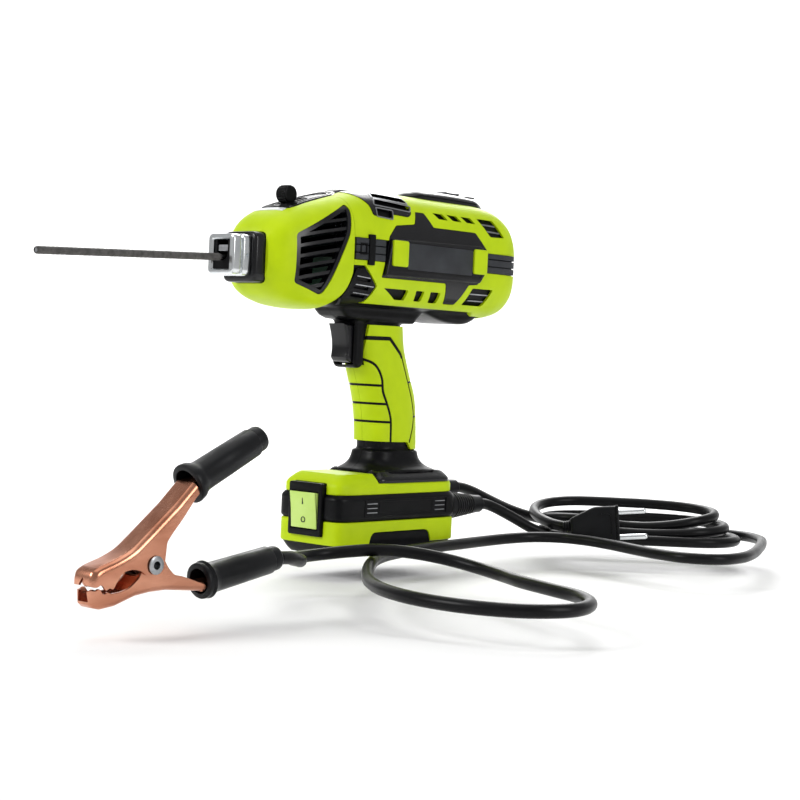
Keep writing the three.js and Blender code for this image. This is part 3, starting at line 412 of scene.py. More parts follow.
FINISHES = {
    "lime_plastic": {
        "dark": (0.46, 0.63, 0.0), "light": (0.52, 0.69, 0.001), "rough": 0.45, "grain": 2600,
        "depth": 0.10, "specular": 0.2,
    },
    "black_plastic": {
        "dark": (0.002, 0.0021, 0.0026), "light": (0.0045, 0.0047, 0.0056), "rough": 0.34, "grain": 2400,
        "depth": 0.14, "specular": 0.12,
    },
    "gloss_plastic": {
        "dark": (0.002, 0.002, 0.003), "light": (0.0045, 0.0045, 0.006), "rough": 0.24, "grain": 900,
        "depth": 0.03, "coat": 0.1, "specular": 0.34,
    },
    "grey_plastic": {
        "dark": (0.02, 0.022, 0.026), "light": (0.034, 0.037, 0.043), "rough": 0.4, "grain": 1900,
        "depth": 0.25, "specular": 0.3,
    },
    "lead_rubber": {
        "dark": (0.0022, 0.0023, 0.0027), "light": (0.005, 0.0052, 0.006), "rough": 0.34, "grain": 1500,
        "depth": 0.1, "specular": 0.16,
    },
    "grip_rubber": {
        "dark": (0.0025, 0.0028, 0.0034), "light": (0.006, 0.0066, 0.008), "rough": 0.36, "grain": 1700,
        "depth": 0.16, "specular": 0.2,
    },
    "head_chrome": {
        "dark": (0.72, 0.75, 0.77), "light": (0.83, 0.85, 0.86), "rough": 0.17, "grain": 700,
        "depth": 0.03, "metal": 1.0, "spread": 0.05,
    },
    "steel": {
        "dark": (0.30, 0.31, 0.32), "light": (0.42, 0.43, 0.45), "rough": 0.33, "grain": 900,
        "depth": 0.12, "metal": 1.0, "stretch": (6, 1, 6),
    },
    "clamp_copper": {
        "dark": (0.46, 0.185, 0.11), "light": (0.66, 0.31, 0.2), "rough": 0.25, "grain": 600,
        "depth": 0.1, "metal": 1.0, "wear": 90, "stretch": (1, 0.35, 1), "spread": 0.09,
    },
    "electrode_flux": {
        "dark": (0.045, 0.042, 0.04), "light": (0.10, 0.095, 0.09), "rough": 0.72, "grain": 1500,
        "depth": 0.9, "wear": 300,
    },
    "rocker_plastic": {
        "dark": (0.50, 0.71, 0.14), "light": (0.56, 0.76, 0.20), "rough": 0.35, "grain": 1500,
        "depth": 0.06,
    },
    "lamp_lens": {
        "dark": (0.72, 0.74, 0.75), "light": (0.84, 0.86, 0.87), "rough": 0.22, "grain": 800,
        "depth": 0.05, "coat": 0.5,
    },
    "circuit_board": {
        "dark": (0.01, 0.07, 0.03), "light": (0.02, 0.12, 0.05), "rough": 0.4, "grain": 1200,
        "depth": 0.2,
    },
    "heat_sink_alloy": {
        "dark": (0.45, 0.46, 0.48), "light": (0.56, 0.57, 0.59), "rough": 0.36, "grain": 900,
        "depth": 0.1, "metal": 1.0, "stretch": (1, 8, 1),
    },
}
MATERIALS = {name: finish_material(name, **finish) for name, finish in FINISHES.items()}
NODE_SLOTS = {row["node"]: row["material_slot"] for row in frame["record"]["subparts"]}
for node, solid in frame["nodes"].items():
    solid.material_slots[0].material = MATERIALS[NODE_SLOTS[node]]


# ---------- finishing a piece ----------
def values_of(items, name, width=3):
    """One property of a mesh's parts: a row of floats for each part, or a single whole number."""
    values = np.empty(len(items) * width, np.float32 if width > 1 else np.int32)
    items.foreach_get(name, values)
    return values.reshape(-1, width).astype(float) if width > 1 else values


def set_normals(made, field, angle):
    """Smooth shading between faces that meet gently, and the parent form's own normals on its skin."""
    mesh = made.data
    mesh.shade_smooth()
    mesh.set_sharp_from_angle(angle=math.radians(angle))
    if field is None:
        return
    normals = values_of(mesh.corner_normals, "vector")
    owner = values_of(mesh.loops, "vertex_index", 1)
    points = values_of(mesh.vertices, "co") / MM
    totals = values_of(mesh.polygons, "loop_total", 1)
    flat = np.repeat(values_of(mesh.polygons, "normal"), totals, axis=0)
    gradient = np.zeros_like(points)
    for axis in range(3):
        nudge = np.zeros(3)
        nudge[axis] = 0.05
        gradient[:, axis] = field(points + nudge) - field(points - nudge)
    gradient /= np.maximum(np.linalg.norm(gradient, axis=1, keepdims=True), 1e-12)
    wanted = gradient[owner]
    match = np.sum(flat * wanted, axis=1)
    close = np.abs(match) > 0.94
    normals[close] = wanted[close] * np.sign(match[close])[:, None]
    mesh.normals_split_custom_set([tuple(n) for n in normals])


def piece(made, name, slot, nodes=(), body="welder", field=None, angle=32):
    """Puts a body drawn in millimetres into the scene as a finished piece."""
    made.name = name
    made.data.name = name
    made.data.transform(Matrix.Scale(MM, 4))
    set_normals(made, field, angle)
    made.data.materials.clear()
    made.data.materials.append(MATERIALS[slot])
    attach(made, body)
    if nodes:
        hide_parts(*nodes)
    return made


def show(made, node, slot, **how):
    """The finished look of one CAD node."""
    return piece(made, f"{node}_shown", slot, [node], **how)


def pair(made, name, slot, nodes=True, **how):
    """The left piece and its mirror image on the right."""
    right = mirrored(made)
    for side, one in (("left", made), ("right", right)):
        piece(one, f"{name}_{side}_shown", slot, (f"{name}_{side}",) if nodes else (), **how)


# ---------- cords ----------
CORD_R = 4.4
MAINS_START = [
    (17, 115.8, 33), (17.2, 124, 32.3), (19, 133, 29.6), (22.6, 143, 25), (28, 154, 19), (34.4, 166, 12.2),
    (42, 178.6, 7.4), (50, 188.6, 6), (60.6, 200, 5),
]
EARTH_LINE = [
    (-15, 122.9, 44), (-15, 132, 43), (-15.2, 146, 39.6), (-16, 164, 33.8), (-17.6, 184, 27.6),
    (-19.4, 206, 21.4), (-19.6, 230, 15.6), (-14.6, 258, 10), (3.6, 288, 6), (34, 315, 5), (65, 341, 5),
    (95, 358, 5), (124, 361, 5), (149, 344, 5), (168, 314, 5), (186, 278, 5), (204, 238, 5), (215, 202, 5),
    (213, 172, 5), (193, 156, 5), (165, 158, 5), (136, 166.5, 5.2), (109.6, 171.9, 6), (86.5, 170.7, 7),
    (62.8, 165.7, 7), (47, 149, 6.6), (40, 126, 5.8), (38, 100, 5), (43, 62, 5), (48, 24, 5), (55, -14, 5),
    (67, -52, 5), (84, -84, 5), (108, -116, 5), (136, -148, 5), (164, -176, 5), (196, -197, 5),
    (232, -208, 5), (270, -206, 5), (300, -190, 5), (314, -162, 5), (306, -132, 5), (282, -109, 5),
    (250, -96, 5), (214, -82, 5), (188, -68, 5), (160, -60, 6.6), (136, -64, 10), (116, -78, 13.4),
    (98, -95, 14.6), (82, -109, 12.6), (72, -125, 10.6), (71, -145, 9.8), (80, -164, 10.6),
    (97, -179, 12.6), (115, -192, 14.8), (128, -206, 17), (135.6, -221, 20.4), (139, -235.8, 21.6),
]
# the mains lead's loose oval coil: a = along it, l = across it, towards its far side
COIL = {"x": 71.4, "y": 270.6, "turn": math.radians(41), "straight": 39, "r": 45, "z": 5}
COIL_TURNS = 2.62
COIL_TAIL = [
    (-38, 44, 29.4), (-57, 41.6, 29), (-75, 32.6, 27.6), (-87, 16, 25.4), (-91.4, -6, 22.6),
    (-88.8, -28, 19.6), (-83.4, -44, 17.4), (-76.4, -55.6, 16), (-68, -61.2, 15.2), (-59.6, -62.2, 15.6),
]


def in_coil(a, l, z):
    c, s = math.cos(COIL["turn"]), math.sin(COIL["turn"])
    return (COIL["x"] + a * c - l * s, COIL["y"] + a * s + l * c, z)


def four_way(near, right, far, left, t):
    """A smooth value round the coil that passes through one value on each of its sides."""
    return (
        (near + right + far + left) / 4 + (near - far) / 2 * math.cos(t)
        + (right - left) / 2 * math.sin(t) + (near + far - right - left) / 4 * math.cos(2 * t)
    )


def coil_points():
    straight, arc_r = 2 * COIL["straight"], 40
    arc = math.pi * arc_r
    total = 2 * (straight + arc)
    per_turn = 40
    points = []
    for i in range(2, int(COIL_TURNS * per_turn) + 1):
        whole, part = divmod(i / per_turn, 1)
        climb = min(max((part - 0.8) / 0.2, 0), 1)
        level = whole + climb * climb * (3 - 2 * climb)
        t = 2 * math.pi * (part - straight / 2 / total)
        lean = math.radians(four_way(150, 105, 93, 104, t))
        gap = four_way(9.7, 10.6, 12.2, 10.6, t)
        loose = 0.5 * math.sin(2.3 * whole + t) if level > 0 else 0
        r = COIL["r"] + gap * level * math.cos(lean) + loose
        z = COIL["z"] + gap * level * math.sin(lean)
        pull = 6.5 * level  # how much shorter than the lowest turn this one is
        along = part * total
        if along < straight:
            place = (along / straight * (straight - pull) - straight / 2, -r)
        elif along < straight + arc:
            turn = (along - straight) / arc_r - math.pi / 2
            place = (straight / 2 - pull + r * math.cos(turn), r * math.sin(turn))
        elif along < 2 * straight + arc:
            place = (straight / 2 - pull - (along - straight - arc) / straight * (straight - pull), r)
        else:
            turn = (along - 2 * straight - arc) / arc_r + math.pi / 2
            place = (-straight / 2 + r * math.cos(turn), r * math.sin(turn))
        points.append(in_coil(*place, z))
    return points


def make_cord(name, line, nodes):
    dense = catmull(line, 2.5) * MM
    cord = wire_along(name, dense, CORD_R * MM, 6)
    cord.data.materials.append(MATERIALS["lead_rubber"])
    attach(cord, "welder")
    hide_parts(*nodes)
    return cord, float(np.linalg.norm(np.diff(dense, axis=0), axis=1).sum())


MAINS_LINE = [*MAINS_START, *coil_points(), *(in_coil(*p) for p in COIL_TAIL)]
mains, mains_length = make_cord("mains_cord", MAINS_LINE, ["mains_lead", "mains_coil"])
earth, earth_length = make_cord("earth_cord", EARTH_LINE, ["earth_lead"])


# ---------- stage and light ----------
def make_stage():
    profile = [(-3.0, 0.0), (1.6, 0.0), (2.1, 0.06), (2.5, 0.25), (2.75, 0.6), (2.85, 1.1), (2.85, 3.4)]
    ahead = Vector((-0.6617, 0.7498, 0))  # along the floor, away from the camera
    across = Vector((ahead.y, -ahead.x, 0))
    smooth = catmull(profile, 0.05)
    verts, faces = [], []
    for a, z in smooth:
        for side in (-4, 4):
            verts.append(tuple(ahead * a + across * side + Vector((0, 0, z - 0.0004))))
    for i in range(len(smooth) - 1):
        faces.append((2 * i, 2 * i + 1, 2 * i + 3, 2 * i + 2))
    mesh = bpy.data.meshes.new("floor")
    mesh.from_pydata(verts, [], faces)
    mesh.shade_smooth()
    floor = bpy.data.objects.new("floor", mesh)
    scene.collection.objects.link(floor)
    material, nodes, links, shader = tree_of("floor")
    drift = noise_node(nodes, links, 3.0)
    pale = [(0.3, (0.93, 0.93, 0.93, 1)), (0.7, (0.96, 0.96, 0.96, 1))]
    tones = ramp_node(nodes, links, drift.outputs["Fac"], pale)
    links.new(tones.outputs["Color"], shader.inputs["Base Color"])
    shader.inputs["Roughness"].default_value = 0.9
    shader.inputs["Specular IOR Level"].default_value = 0.1
    mesh.materials.append(material)


def make_light(name, place, target, size, power, tall=None):
    data = bpy.data.lights.new(name, "AREA")
    data.energy = power
    data.size = size
    if tall:
        data.shape = "RECTANGLE"
        data.size_y = tall
    lamp = bpy.data.objects.new(name, data)
    lamp.location = place
    lamp.rotation_mode = "QUATERNION"
    lamp.rotation_quaternion = (Vector(target) - Vector(place)).to_track_quat("-Z", "Y")
    scene.collection.objects.link(lamp)


def make_lights():
    world = bpy.data.worlds.new("world")
    world.use_nodes = True
    world.node_tree.nodes["Background"].inputs["Color"].default_value = (1, 1, 1, 1)
    world.node_tree.nodes["Background"].inputs["Strength"].default_value = 0.42
    scene.world = world
    target = (0.05, 0.0, 0.15)
    make_light("overhead", (0.1, -0.1, 1.7), target, 1.3, 6)
    make_light("key", (-0.55, -1.55, 1.0), target, 0.7, 16)
    make_light("side", (1.7, 0.2, 0.8), target, 0.5, 9, 1.0)
    make_light("rear", (-0.9, 1.3, 1.1), target, 0.8, 10)
    make_light("backdrop", (-1.0, 1.15, 1.9), (-1.85, 2.1, 0.25), 1.6, 46)


make_stage()
make_lights()


# ---------- barrel: the form that the skins, vents and panels share ----------
SKIN = 1.9
CORE = 2.2
FIT = 0.3  # the gap between pieces that fit into each other
COVER_BACK = CORE - FIT  # how deep the covers on the core reach
SPLIT = 0.12  # half the gap between the left and the right halves
BARREL_POWER = 3.2
BARREL = [
    (-140.5, 20, 200, 237), (-137.5, 24.5, 196, 241.5), (-131.5, 29, 191, 248), (-121.5, 33, 187, 254),
    (-107, 36.3, 184, 259.5), (-90, 39, 183, 264.5), (-73, 41, 183.5, 269), (-55, 42, 184.5, 273.5),
    (-25, 42, 184.5, 276), (78, 42, 184, 276), (100, 41.5, 184, 274.5), (114, 40, 186, 270),
    (123, 36.5, 191, 263), (128, 31, 198, 254),
]


def barrel(inset):
    return along_y(BARREL, inset, BARREL_POWER)


def sections_at(rows, levels):
    """The three values of a form's dense stations at each level."""
    return (np.interp(levels, rows[:, 0], rows[:, i]) for i in (1, 2, 3))


def field_along_y(rows, power):
    """A value that is 1 on the skin of a form made by along_y and grows outwards."""
    def field(p):
        half, low, high = sections_at(rows, p[:, 1])
        up = np.abs((p[:, 2] - (low + high) / 2) / ((high - low) / 2)) ** power
        return np.abs(p[:, 0] / half) ** power + up

    return field


barrel_field = field_along_y(smooth_rows(BARREL, 2.5), BARREL_POWER)


def layer(outer, inner):
    return cut(barrel(outer), barrel(inner))


def side(points, x0=4.0, x1=60.0):
    return prism(points, x0, x1)


POD = [
    (-62, 7, 262, 272.6), (-54, 11, 262, 275.6), (-30, 14, 262, 277.4), (4, 15, 262, 278), (14, 19, 262, 280),
    (26, 21.4, 262, 282.4), (60, 21.6, 262, 283), (90, 20.6, 262, 282.4), (100, 18, 262, 279.6),
    (107, 14, 262, 275.6),
]
GRILLE_WINDOW = fillet(
    [(-124, 201), (-100, 193.5), (-97, 195), (-77, 239), (-73.6, 257.5), (-76, 261.5), (-124, 236)], 3)
UPPER_VENT = fillet([
    (-62, 290), (-62, 271), (-54.5, 262.5), (-53, 255), (-32.5, 253.6), (-31, 257.4), (-13, 256.8),
    (-9, 260), (-13, 290)], 2)
PANEL = fillet([
    (-42.4, 209.4), (32, 209.4), (37, 193.5), (50.5, 193.5), (60.5, 209.6), (71, 210.4), (82, 222),
    (82, 237), (66, 251.4), (15, 251.4), (6, 261.8), (-4, 261.8), (-7.4, 252), (-29, 249.4),
    (-36.4, 240.6)], 1.4)
LABEL_FRAME = fillet([(-41, 211), (71, 211.6), (80, 223.6), (80, 236), (70, 241), (-35, 239)], 2)
LOWER_VENT = fillet([(-70, 214.5), (-61, 216.4), (-46, 203), (-50.6, 190.6), (-72, 187), (-77.6, 192.5)], 1.5)
LOWER_SLOTS = [fillet(points, 1.2) for points in (
    [(-37, 202), (-9, 202), (-9, 194), (-20, 194)],
    [(0, 202), (10, 202), (10, 194), (2, 194)],
    [(17, 202), (29, 202), (29, 193.6), (19, 193.6)],
)]
REAR_LOWER_VENT = fillet([(66, 207.6), (92, 207.6), (84.6, 194), (59.4, 194)], 1.6)
UPPER_SLOTS = [
    fillet([(y, 263), (y + 12, 262.8), (y + 17, 258.4), (y + 6, 258.6)], 0.8) for y in (17, 34, 51)]
REAR_UPPER_VENT = fillet([(71, 263), (92, 263), (104, 250), (85, 249.4)], 1.6)
LOWER_BLACK = [(-52, 170), (-50.6, 190), (81, 189), (90, 183.6), (90, 170)]
FRONT_BLACK = fillet([(-74, 170), (-74, 217), (-61, 217.4), (-45.2, 203.2), (-50.4, 190.2), (-52, 170)], 1.2)
NOSE_LOWER_CUT = catmull([(-100, 170), (-86, 186), (-78, 196), (-72.6, 214), (-72.4, 216)], 2).tolist() + [
    (-60, 216), (-60, 170)]
TOP_PLATE = fillet([
    (-15, -118.2), (15, -118.2), (16.6, -112), (15.4, -72), (9, -63), (-9, -63), (-15.4, -72),
    (-16.6, -112)], 2.5)
POD_POWER = 3
REAR_Z = 226
LAMP_HALF = 14


def pod(inset):
    return along_y(POD, inset, POD_POWER, 96)


def from_above(points):
    return prism(points, 230, 300, "Z")


def rear_opening():
    return prism(circle(24.4, 0, REAR_Z), 106, 140, "Y")


def make_nose_shell():
    shell = common(layer(0, SKIN), block(-60, 60, -150, -73.15, 150, 300))
    window = side(GRILLE_WINDOW)
    return cut(
        shell,
        prism(rect(-17.4, 17.4, 199.2, 236.4, 6), -145, -125, "Y"),
        mirrored(window),
        window,
        prism(NOSE_LOWER_CUT, -60, 60),
        from_above(offset(TOP_PLATE, -FIT)),
        block(-LAMP_HALF - FIT, LAMP_HALF + FIT, -122.7, -118, 230, 300),
        pod(-FIT),
    )


def make_side_frame():
    frame_part = common(layer(0, SKIN), block(SPLIT, 60, -72.85, 140, 150, 300))
    windows = [UPPER_VENT, PANEL, REAR_LOWER_VENT, REAR_UPPER_VENT, *LOWER_SLOTS, *UPPER_SLOTS]
    return cut(
        frame_part,
        *(side(w) for w in windows),
        side(FRONT_BLACK, -1),
        side(LOWER_BLACK, -1),
        side(rect(-74.5, -34, 221, 237.6)),
        side(rect(78, 140, 220.4, 236.4), 27),
        block(-1, 12, -90, 60, 255, 300),
        pod(-FIT),
        prism(offset(BELLY, -0.6), -22, 22),
        from_above(offset(TOP_PLATE, -FIT)),
        rear_opening(),
    )


# ---------- housing ----------
GRIP_POWER = 2.5
GRIP = [
    (70, 15.5, 20.5, 28.5), (78, 15.5, 19.5, 26.5), (92, 14.8, 19.5, 26.5), (104, 13.6, 19.5, 26.7),
    (118, 11, 19.5, 27.2), (139, 3, 19, 27), (157, -2.8, 18.8, 26.2), (176, -7, 19.2, 27.4),
]
BELLY = [(34, 192), (34, 188), (52, 181.4), (70, 179), (88, 180), (99, 186), (99, 192)]
THROAT = [(-58, 190), (-56, 184), (-51, 180), (-45, 178), (-30, 177), (27, 176.6), (34, 183), (42, 190)]
LOBE = [
    (-36.6, 182), (-36.6, 146), (-35.8, 143.4), (-34, 141.5), (-31.4, 140.8), (-28.8, 141.5), (-27, 143.4),
    (-26.2, 146), (-26.2, 182),
]


def trigger_well():
    return block(-9.7, 9.7, -70, -10, 143.4, 175)


def make_housing():
    neck = along_z([
        (61.4, 18, 28.5, 42), (63, 17.6, 28, 41), (65, 16.6, 25, 36), (68, 16, 22, 31), (73, 15.5, 20, 27.6),
        (78, 15.4, 19.4, 26.4)], 0, 3)
    outer = join(
        barrel(CORE),
        prism(catmull(BELLY, 3).tolist(), -21, 21, edge=4),
        prism(THROAT, -16.5, 16.5, edge=4),
        prism(LOBE, -12.8, 12.8, edge=2.8),
        neck,
        along_z(GRIP, CORE, GRIP_POWER),
    )
    outer = blended(outer, 1.1, 5)
    chamber = along_y([
        (-130, 19.5, 202, 236), (-104, 30, 190, 253), (-73, 35.5, 189, 262.5), (-50, 36.8, 190, 268),
        (100, 36.4, 190, 269), (122, 30, 198, 256)], 0, BARREL_POWER, 48, 8)
    window = side(offset(GRILLE_WINDOW, 3))
    return cut(
        outer,
        chamber,
        trigger_well(),
        rear_opening(),
        block(-13, 13, -140, -120, 204, 234),
        block(-10.6, 10.6, -118, -72, 244, 300),
        mirrored(window),
        window,
        block(-15, 15, 62, 101, 266, 300),
    )


housing = make_housing()
housing_right = common(copy(housing), block(-80, -SPLIT, -200, 200, 0, 320))
housing_left = common(housing, block(SPLIT, 80, -200, 200, 0, 320))
show(housing_left, "housing_left", "black_plastic", angle=40)
show(housing_right, "housing_right", "black_plastic", angle=40)
show(make_nose_shell(), "nose_shell", "lime_plastic", field=barrel_field)
pair(make_side_frame(), "side_frame", "lime_plastic", field=barrel_field)


# ---------- grilles and vents ----------
def leaning(made, lean):
    """Shears a body so that what lies deeper lies lower, as in a louvre."""
    shear = Matrix.Identity(4)
    shear[2][0] = lean
    made.data.transform(Matrix.Translation((40, 0, 0)) @ shear @ Matrix.Translation((-40, 0, 0)))
    return made


def make_nose_grille():
    rim = common(layer(0.5, 4.5), side(offset(GRILLE_WINDOW, FIT)))
    opening = side(offset(GRILLE_WINDOW, 3.2))
    rim = cut(rim, opening)
    blades = []
    for i in range(9):
        z = 191.5 + i * 7.6
        shape = [(-129, z), (-66, z + 7.4), (-66, z + 9.8), (-129, z + 2.4)]
        blades.append(leaning(side(shape), 0.5))
    field = common(layer(1.3, 6.5), side(offset(GRILLE_WINDOW, 2.4)))
    return join(rim, common(field, join(*blades)))


def make_upper_vent():
    slots = [
        fillet([(-49, 255), (-32.4, 253.9), (-31.4, 260.2), (-48.4, 261)], 0.8),
        fillet([(-49, 263.6), (-11, 261.4), (-8.6, 265.4), (-46, 268)], 1.2),
        fillet([(-46, 269.4), (-10, 267.4), (-12, 271.4), (-43, 273)], 1.0),
    ]
    plate = cut(common(layer(-0.4, COVER_BACK), side(offset(UPPER_VENT, FIT))), pod(-FIT))
    plate = cut(plate, *(side(slot) for slot in slots), block(-1, 12.2, -90, 60, 255, 300))
    trims = []
    for slot in slots:
        band = cut(side(offset(slot, -0.75)), side(offset(slot, 0.15)))
        trims.append(common(layer(-0.65, 0.6), band))
    return plate, cut(join(*trims), block(-1, 12.2, -90, 60, 255, 300), pod(-FIT))


def on_skin(shapes, outer, inner):
    """Thin marks that follow the barrel's surface."""
    return common(layer(outer, inner), join(*(side(shape) for shape in shapes)))


pair(make_nose_grille(), "nose_grille", "gloss_plastic", field=barrel_field)
upper_vent, upper_trim = make_upper_vent()
pair(upper_vent, "upper_vent", "gloss_plastic", field=barrel_field)
pair(upper_trim, "upper_vent_trim", "steel", nodes=False, field=barrel_field)
lower_vent = common(layer(0.4, COVER_BACK), side(offset(LOWER_VENT, 0.4)))
vent_slots = [[(-69, z), (-53, z - 0.9), (-53, z + 1.2), (-69, z + 2.1)] for z in (194, 200, 206)]
lower_vent = cut(lower_vent, *(side(slot) for slot in vent_slots))
pair(lower_vent, "lower_vent", "black_plastic", field=barrel_field)
lines = [
    [(-68, z), (-50 - k, z - 1), (-50 - k, z - 0.3), (-68, z + 0.7)]
    for z, k in ((196.6, 0), (202.6, -2), (208.8, 4))
]
pair(on_skin(lines, 0.25, 0.9), "lower_vent_lines", "steel", nodes=False, field=barrel_field)
slats = [rect(66, 90, z, z + 0.8) for z in (197.4, 202.6)]
slats += [[(76, z), (99, z - 0.6), (99, z + 0.5), (76, z + 1.1)] for z in (253.4, 258.4)]
inner_trims = common(
    on_skin(slats, 0.9, 2.6), join(side(offset(REAR_LOWER_VENT, 1.4)), side(offset(REAR_UPPER_VENT, 1.4))))
pair(inner_trims, "rear_vent_slats", "steel", nodes=False, field=barrel_field)


def make_rear_grille():
    plate = prism(circle(24, 0, REAR_Z, 96), 123.6, 128.4, "Y", 0.7)
    slots = []
    for inner, outer in ((6.5, 11), (12.5, 16.2), (17.7, 21.4)):
        for i in range(6):
            turns = [(i + 0.09 + 0.82 * k / 10) / 6 * 2 * math.pi for k in range(11)]
            far = [(outer * math.cos(t), REAR_Z + outer * math.sin(t)) for t in turns]
            near = [(inner * math.cos(t), REAR_Z + inner * math.sin(t)) for t in reversed(turns)]
            slots.append(prism(far + near, 120, 140, "Y"))
    return join(cut(plate, *slots), prism(circle(2, 0, REAR_Z, 24), 108, 124, "Y"))


def make_fan():
    rotor = prism(circle(8, 0, REAR_Z), 108, 117, "Y", 0.8)
    blades = []
    for i in range(7):
        blade = moved(prism(rect(-3.2, 3.2, 7, 23.6, 1.4), -0.5, 0.5, "Y", 0.2), turn=34, axis="Z")
        moved(blade, turn=-360 * i / 7, axis="Y")
        blades.append(moved(blade, y=112.5, z=REAR_Z))
    return cut(join(rotor, *blades), prism(circle(2.4, 0, REAR_Z, 24), 100, 130, "Y"))


show(make_rear_grille(), "rear_grille", "black_plastic")
show(make_fan(), "fan_rotor", "black_plastic", body="fan")


# ---------- side panels ----------
LABEL_FACE = 44.4
TABS = {"front": (-35, -17.5), "rear": (61, 77.5)}


def make_panel_back():
    return common(layer(-0.2, COVER_BACK), side(offset(PANEL, FIT)))


def make_rail(y0, y1, z0, z1, x0):
    bar = common(prism(rect(y0, y1, z0, z1, 1), x0, 42.9, edge=0.5), barrel(-1.4))
    grooves = [block(38, 60, y0 - 5, y1 + 5, z, z + 0.9) for z in (z0 + 4.6, z0 + 10.4)]
    return cut(bar, barrel(COVER_BACK), *grooves)


def make_panel_frame():
    frame_part = prism(LABEL_FRAME, 40.2, LABEL_FACE, edge=0.9)
    frame_part = cut(frame_part, prism(strip([(-39, 215.9), (70, 216.1), (79, 226)], 0.7), 43.7, 50))
    seats = [prism(rect(-17.3, 60.8, 216.8, 237.4, 1.5), LABEL_FACE - 1.2, 60)]
    for y0, y1 in TABS.values():
        seats.append(prism(rect(y0 - FIT, y1 + FIT, 218.4, 238.6, 2.5), LABEL_FACE - 1.6, 60))
    return cut(frame_part, *seats)


pair(make_panel_back(), "side_panel", "gloss_plastic", field=barrel_field)
pair(make_panel_frame(), "panel_frame", "gloss_plastic", nodes=False)
pair(make_rail(-72.4, -40.6, 221.4, 237.2, 39.9), "front_rail", "grey_plastic", nodes=False)
pair(make_rail(79.6, 118, 220.8, 236, 30), "rear_rail", "grey_plastic", nodes=False)
strap = cut(common(block(36, 60, -59.6, -53.4, 217.8, 240.4, 0.4), barrel(-1.9)), barrel(COVER_BACK))
pair(strap, "rail_strap", "black_plastic", nodes=False)
detail = cut(side(rect(-68.6, -61.8, 225, 233.6)), side(rect(-67.6, -62.8, 226, 232.6)))
detail = cut(common(detail, barrel(-1.75)), barrel(0))
pair(detail, "rail_mark", "black_plastic", nodes=False)
pair(prism(rect(-17, 60.5, 217.1, 237.1, 1.2), 43.5, 44.3, edge=0.2), "label_plate", "grey_plastic")
for place, (y0, y1) in TABS.items():
    tab = prism(rect(y0, y1, 218.7, 238.3, 2.2), LABEL_FACE - 1.3, LABEL_FACE + 1.4, edge=0.9)
    pair(tab, f"tab_{place}", "lime_plastic")


# ---------- top of the barrel ----------
def make_top_plate():
    plate = common(layer(-0.1, COVER_BACK), from_above(TOP_PLATE))
    return cut(plate, from_above(rect(-4.6, 4.6, -113, -88, 4.4)), pod(-FIT))


def make_top_ridges():
    bands = [
        cut(from_above(offset(TOP_PLATE, a)), from_above(offset(TOP_PLATE, a + 1)))
        for a in (1.4, 4.6)]
    rim = from_above(rect(-6.2, 6.2, -114.6, -86.4, 6))
    rim = cut(rim, from_above(rect(-5.2, 5.2, -113.6, -87.4, 5)))
    return cut(common(layer(-0.75, 0.6), join(*bands, rim)), pod(-FIT))


def make_pod():
    button_well = block(-7.4, 7.4, 66.6, 85.4, 266, 300)
    display_seat = block(-12.3, 12.3, 87, 98.3, 281.3, 300)
    crease = strip([(-40, 274.4), (10, 275.4), (24, 277.2), (92, 276.6)], 0.7)
    creases = [prism(crease, x0, x1) for x0, x1 in ((12, 40), (-40, -12))]
    return cut(pod(0), barrel(COVER_BACK), button_well, display_seat, *creases)


show(make_top_plate(), "top_plate", "gloss_plastic", field=barrel_field)
piece(make_top_ridges(), "top_ridges", "gloss_plastic", field=barrel_field)
lamp = common(layer(-0.4, COVER_BACK), block(-LAMP_HALF, LAMP_HALF, -122.4, -118.6, 235, 300))
show(lamp, "lamp_window", "lamp_lens", field=barrel_field)
show(make_pod(), "top_pod", "gloss_plastic", field=field_along_y(smooth_rows(POD, 2.5), POD_POWER))
display = block(-12, 12, 87.3, 98, 281.6, 282.9, 0.4)
show(display, "display_window", "gloss_plastic")
paddle = fillet([(67.4, 282), (67.2, 285), (76, 284), (84.8, 285), (84.6, 282), (79, 277), (73, 277)], 0.8)
show(prism(paddle, -7, 7, edge=0.6), "level_rocker", "grey_plastic", body="level_body")


# ---------- head, jaws and electrode ----------
def make_head():
    flange = prism(rect(-13.3, 13.3, 204, 233, 4.4), -168, -160, "Y", 1.3)
    groove = prism(rect(-11.4, 11.4, 206, 231, 3), -161, -157, "Y")
    body = prism(rect(-13, 13, 203.6, 233.4, 4.4), -158, -150.3, "Y", 1.1)
    tail = prism(rect(-11, 11, 205.6, 231.4, 2), -151, -126, "Y")
    bore = prism(rect(-8.5, 8.5, 208, 229, 1), -180, -100, "Y")
    mouth = loft([
        [(a, y, b) for a, b in rect(-8.5 - grow, 8.5 + grow, 208 - grow, 229 + grow, 1.2)]
        for y, grow in ((-170, 2.6), (-168, 0.9), (-166.9, 0))])
    return cut(join(flange, groove, body, tail), bore, mouth, prism(circle(1.4, -154.2, 218.5, 20), 10, 20))


def make_collar():
    ring = prism(rect(-17, 17, 199.6, 236, 6.4), -150, -135.2, "Y", 2.2)
    return cut(ring, prism(rect(-11.4, 11.4, 205.2, 231.8, 2), -160, -120, "Y"), barrel(COVER_BACK))


def make_jaws():
    arch = [(5.4 * math.cos(t), 219 - 5 * math.sin(t)) for t in [math.pi * k / 14 for k in range(15)]]
    shape = [(8.1, 208.3), (8.1, 228.7), (5.4, 228.7), *arch, (-5.4, 228.7), (-8.1, 228.7), (-8.1, 208.3)]
    return prism(shape, -166.2, -136, "Y")


def in_rod(made):
    return moved(made, y=-168, z=216.3, turn=2.4)


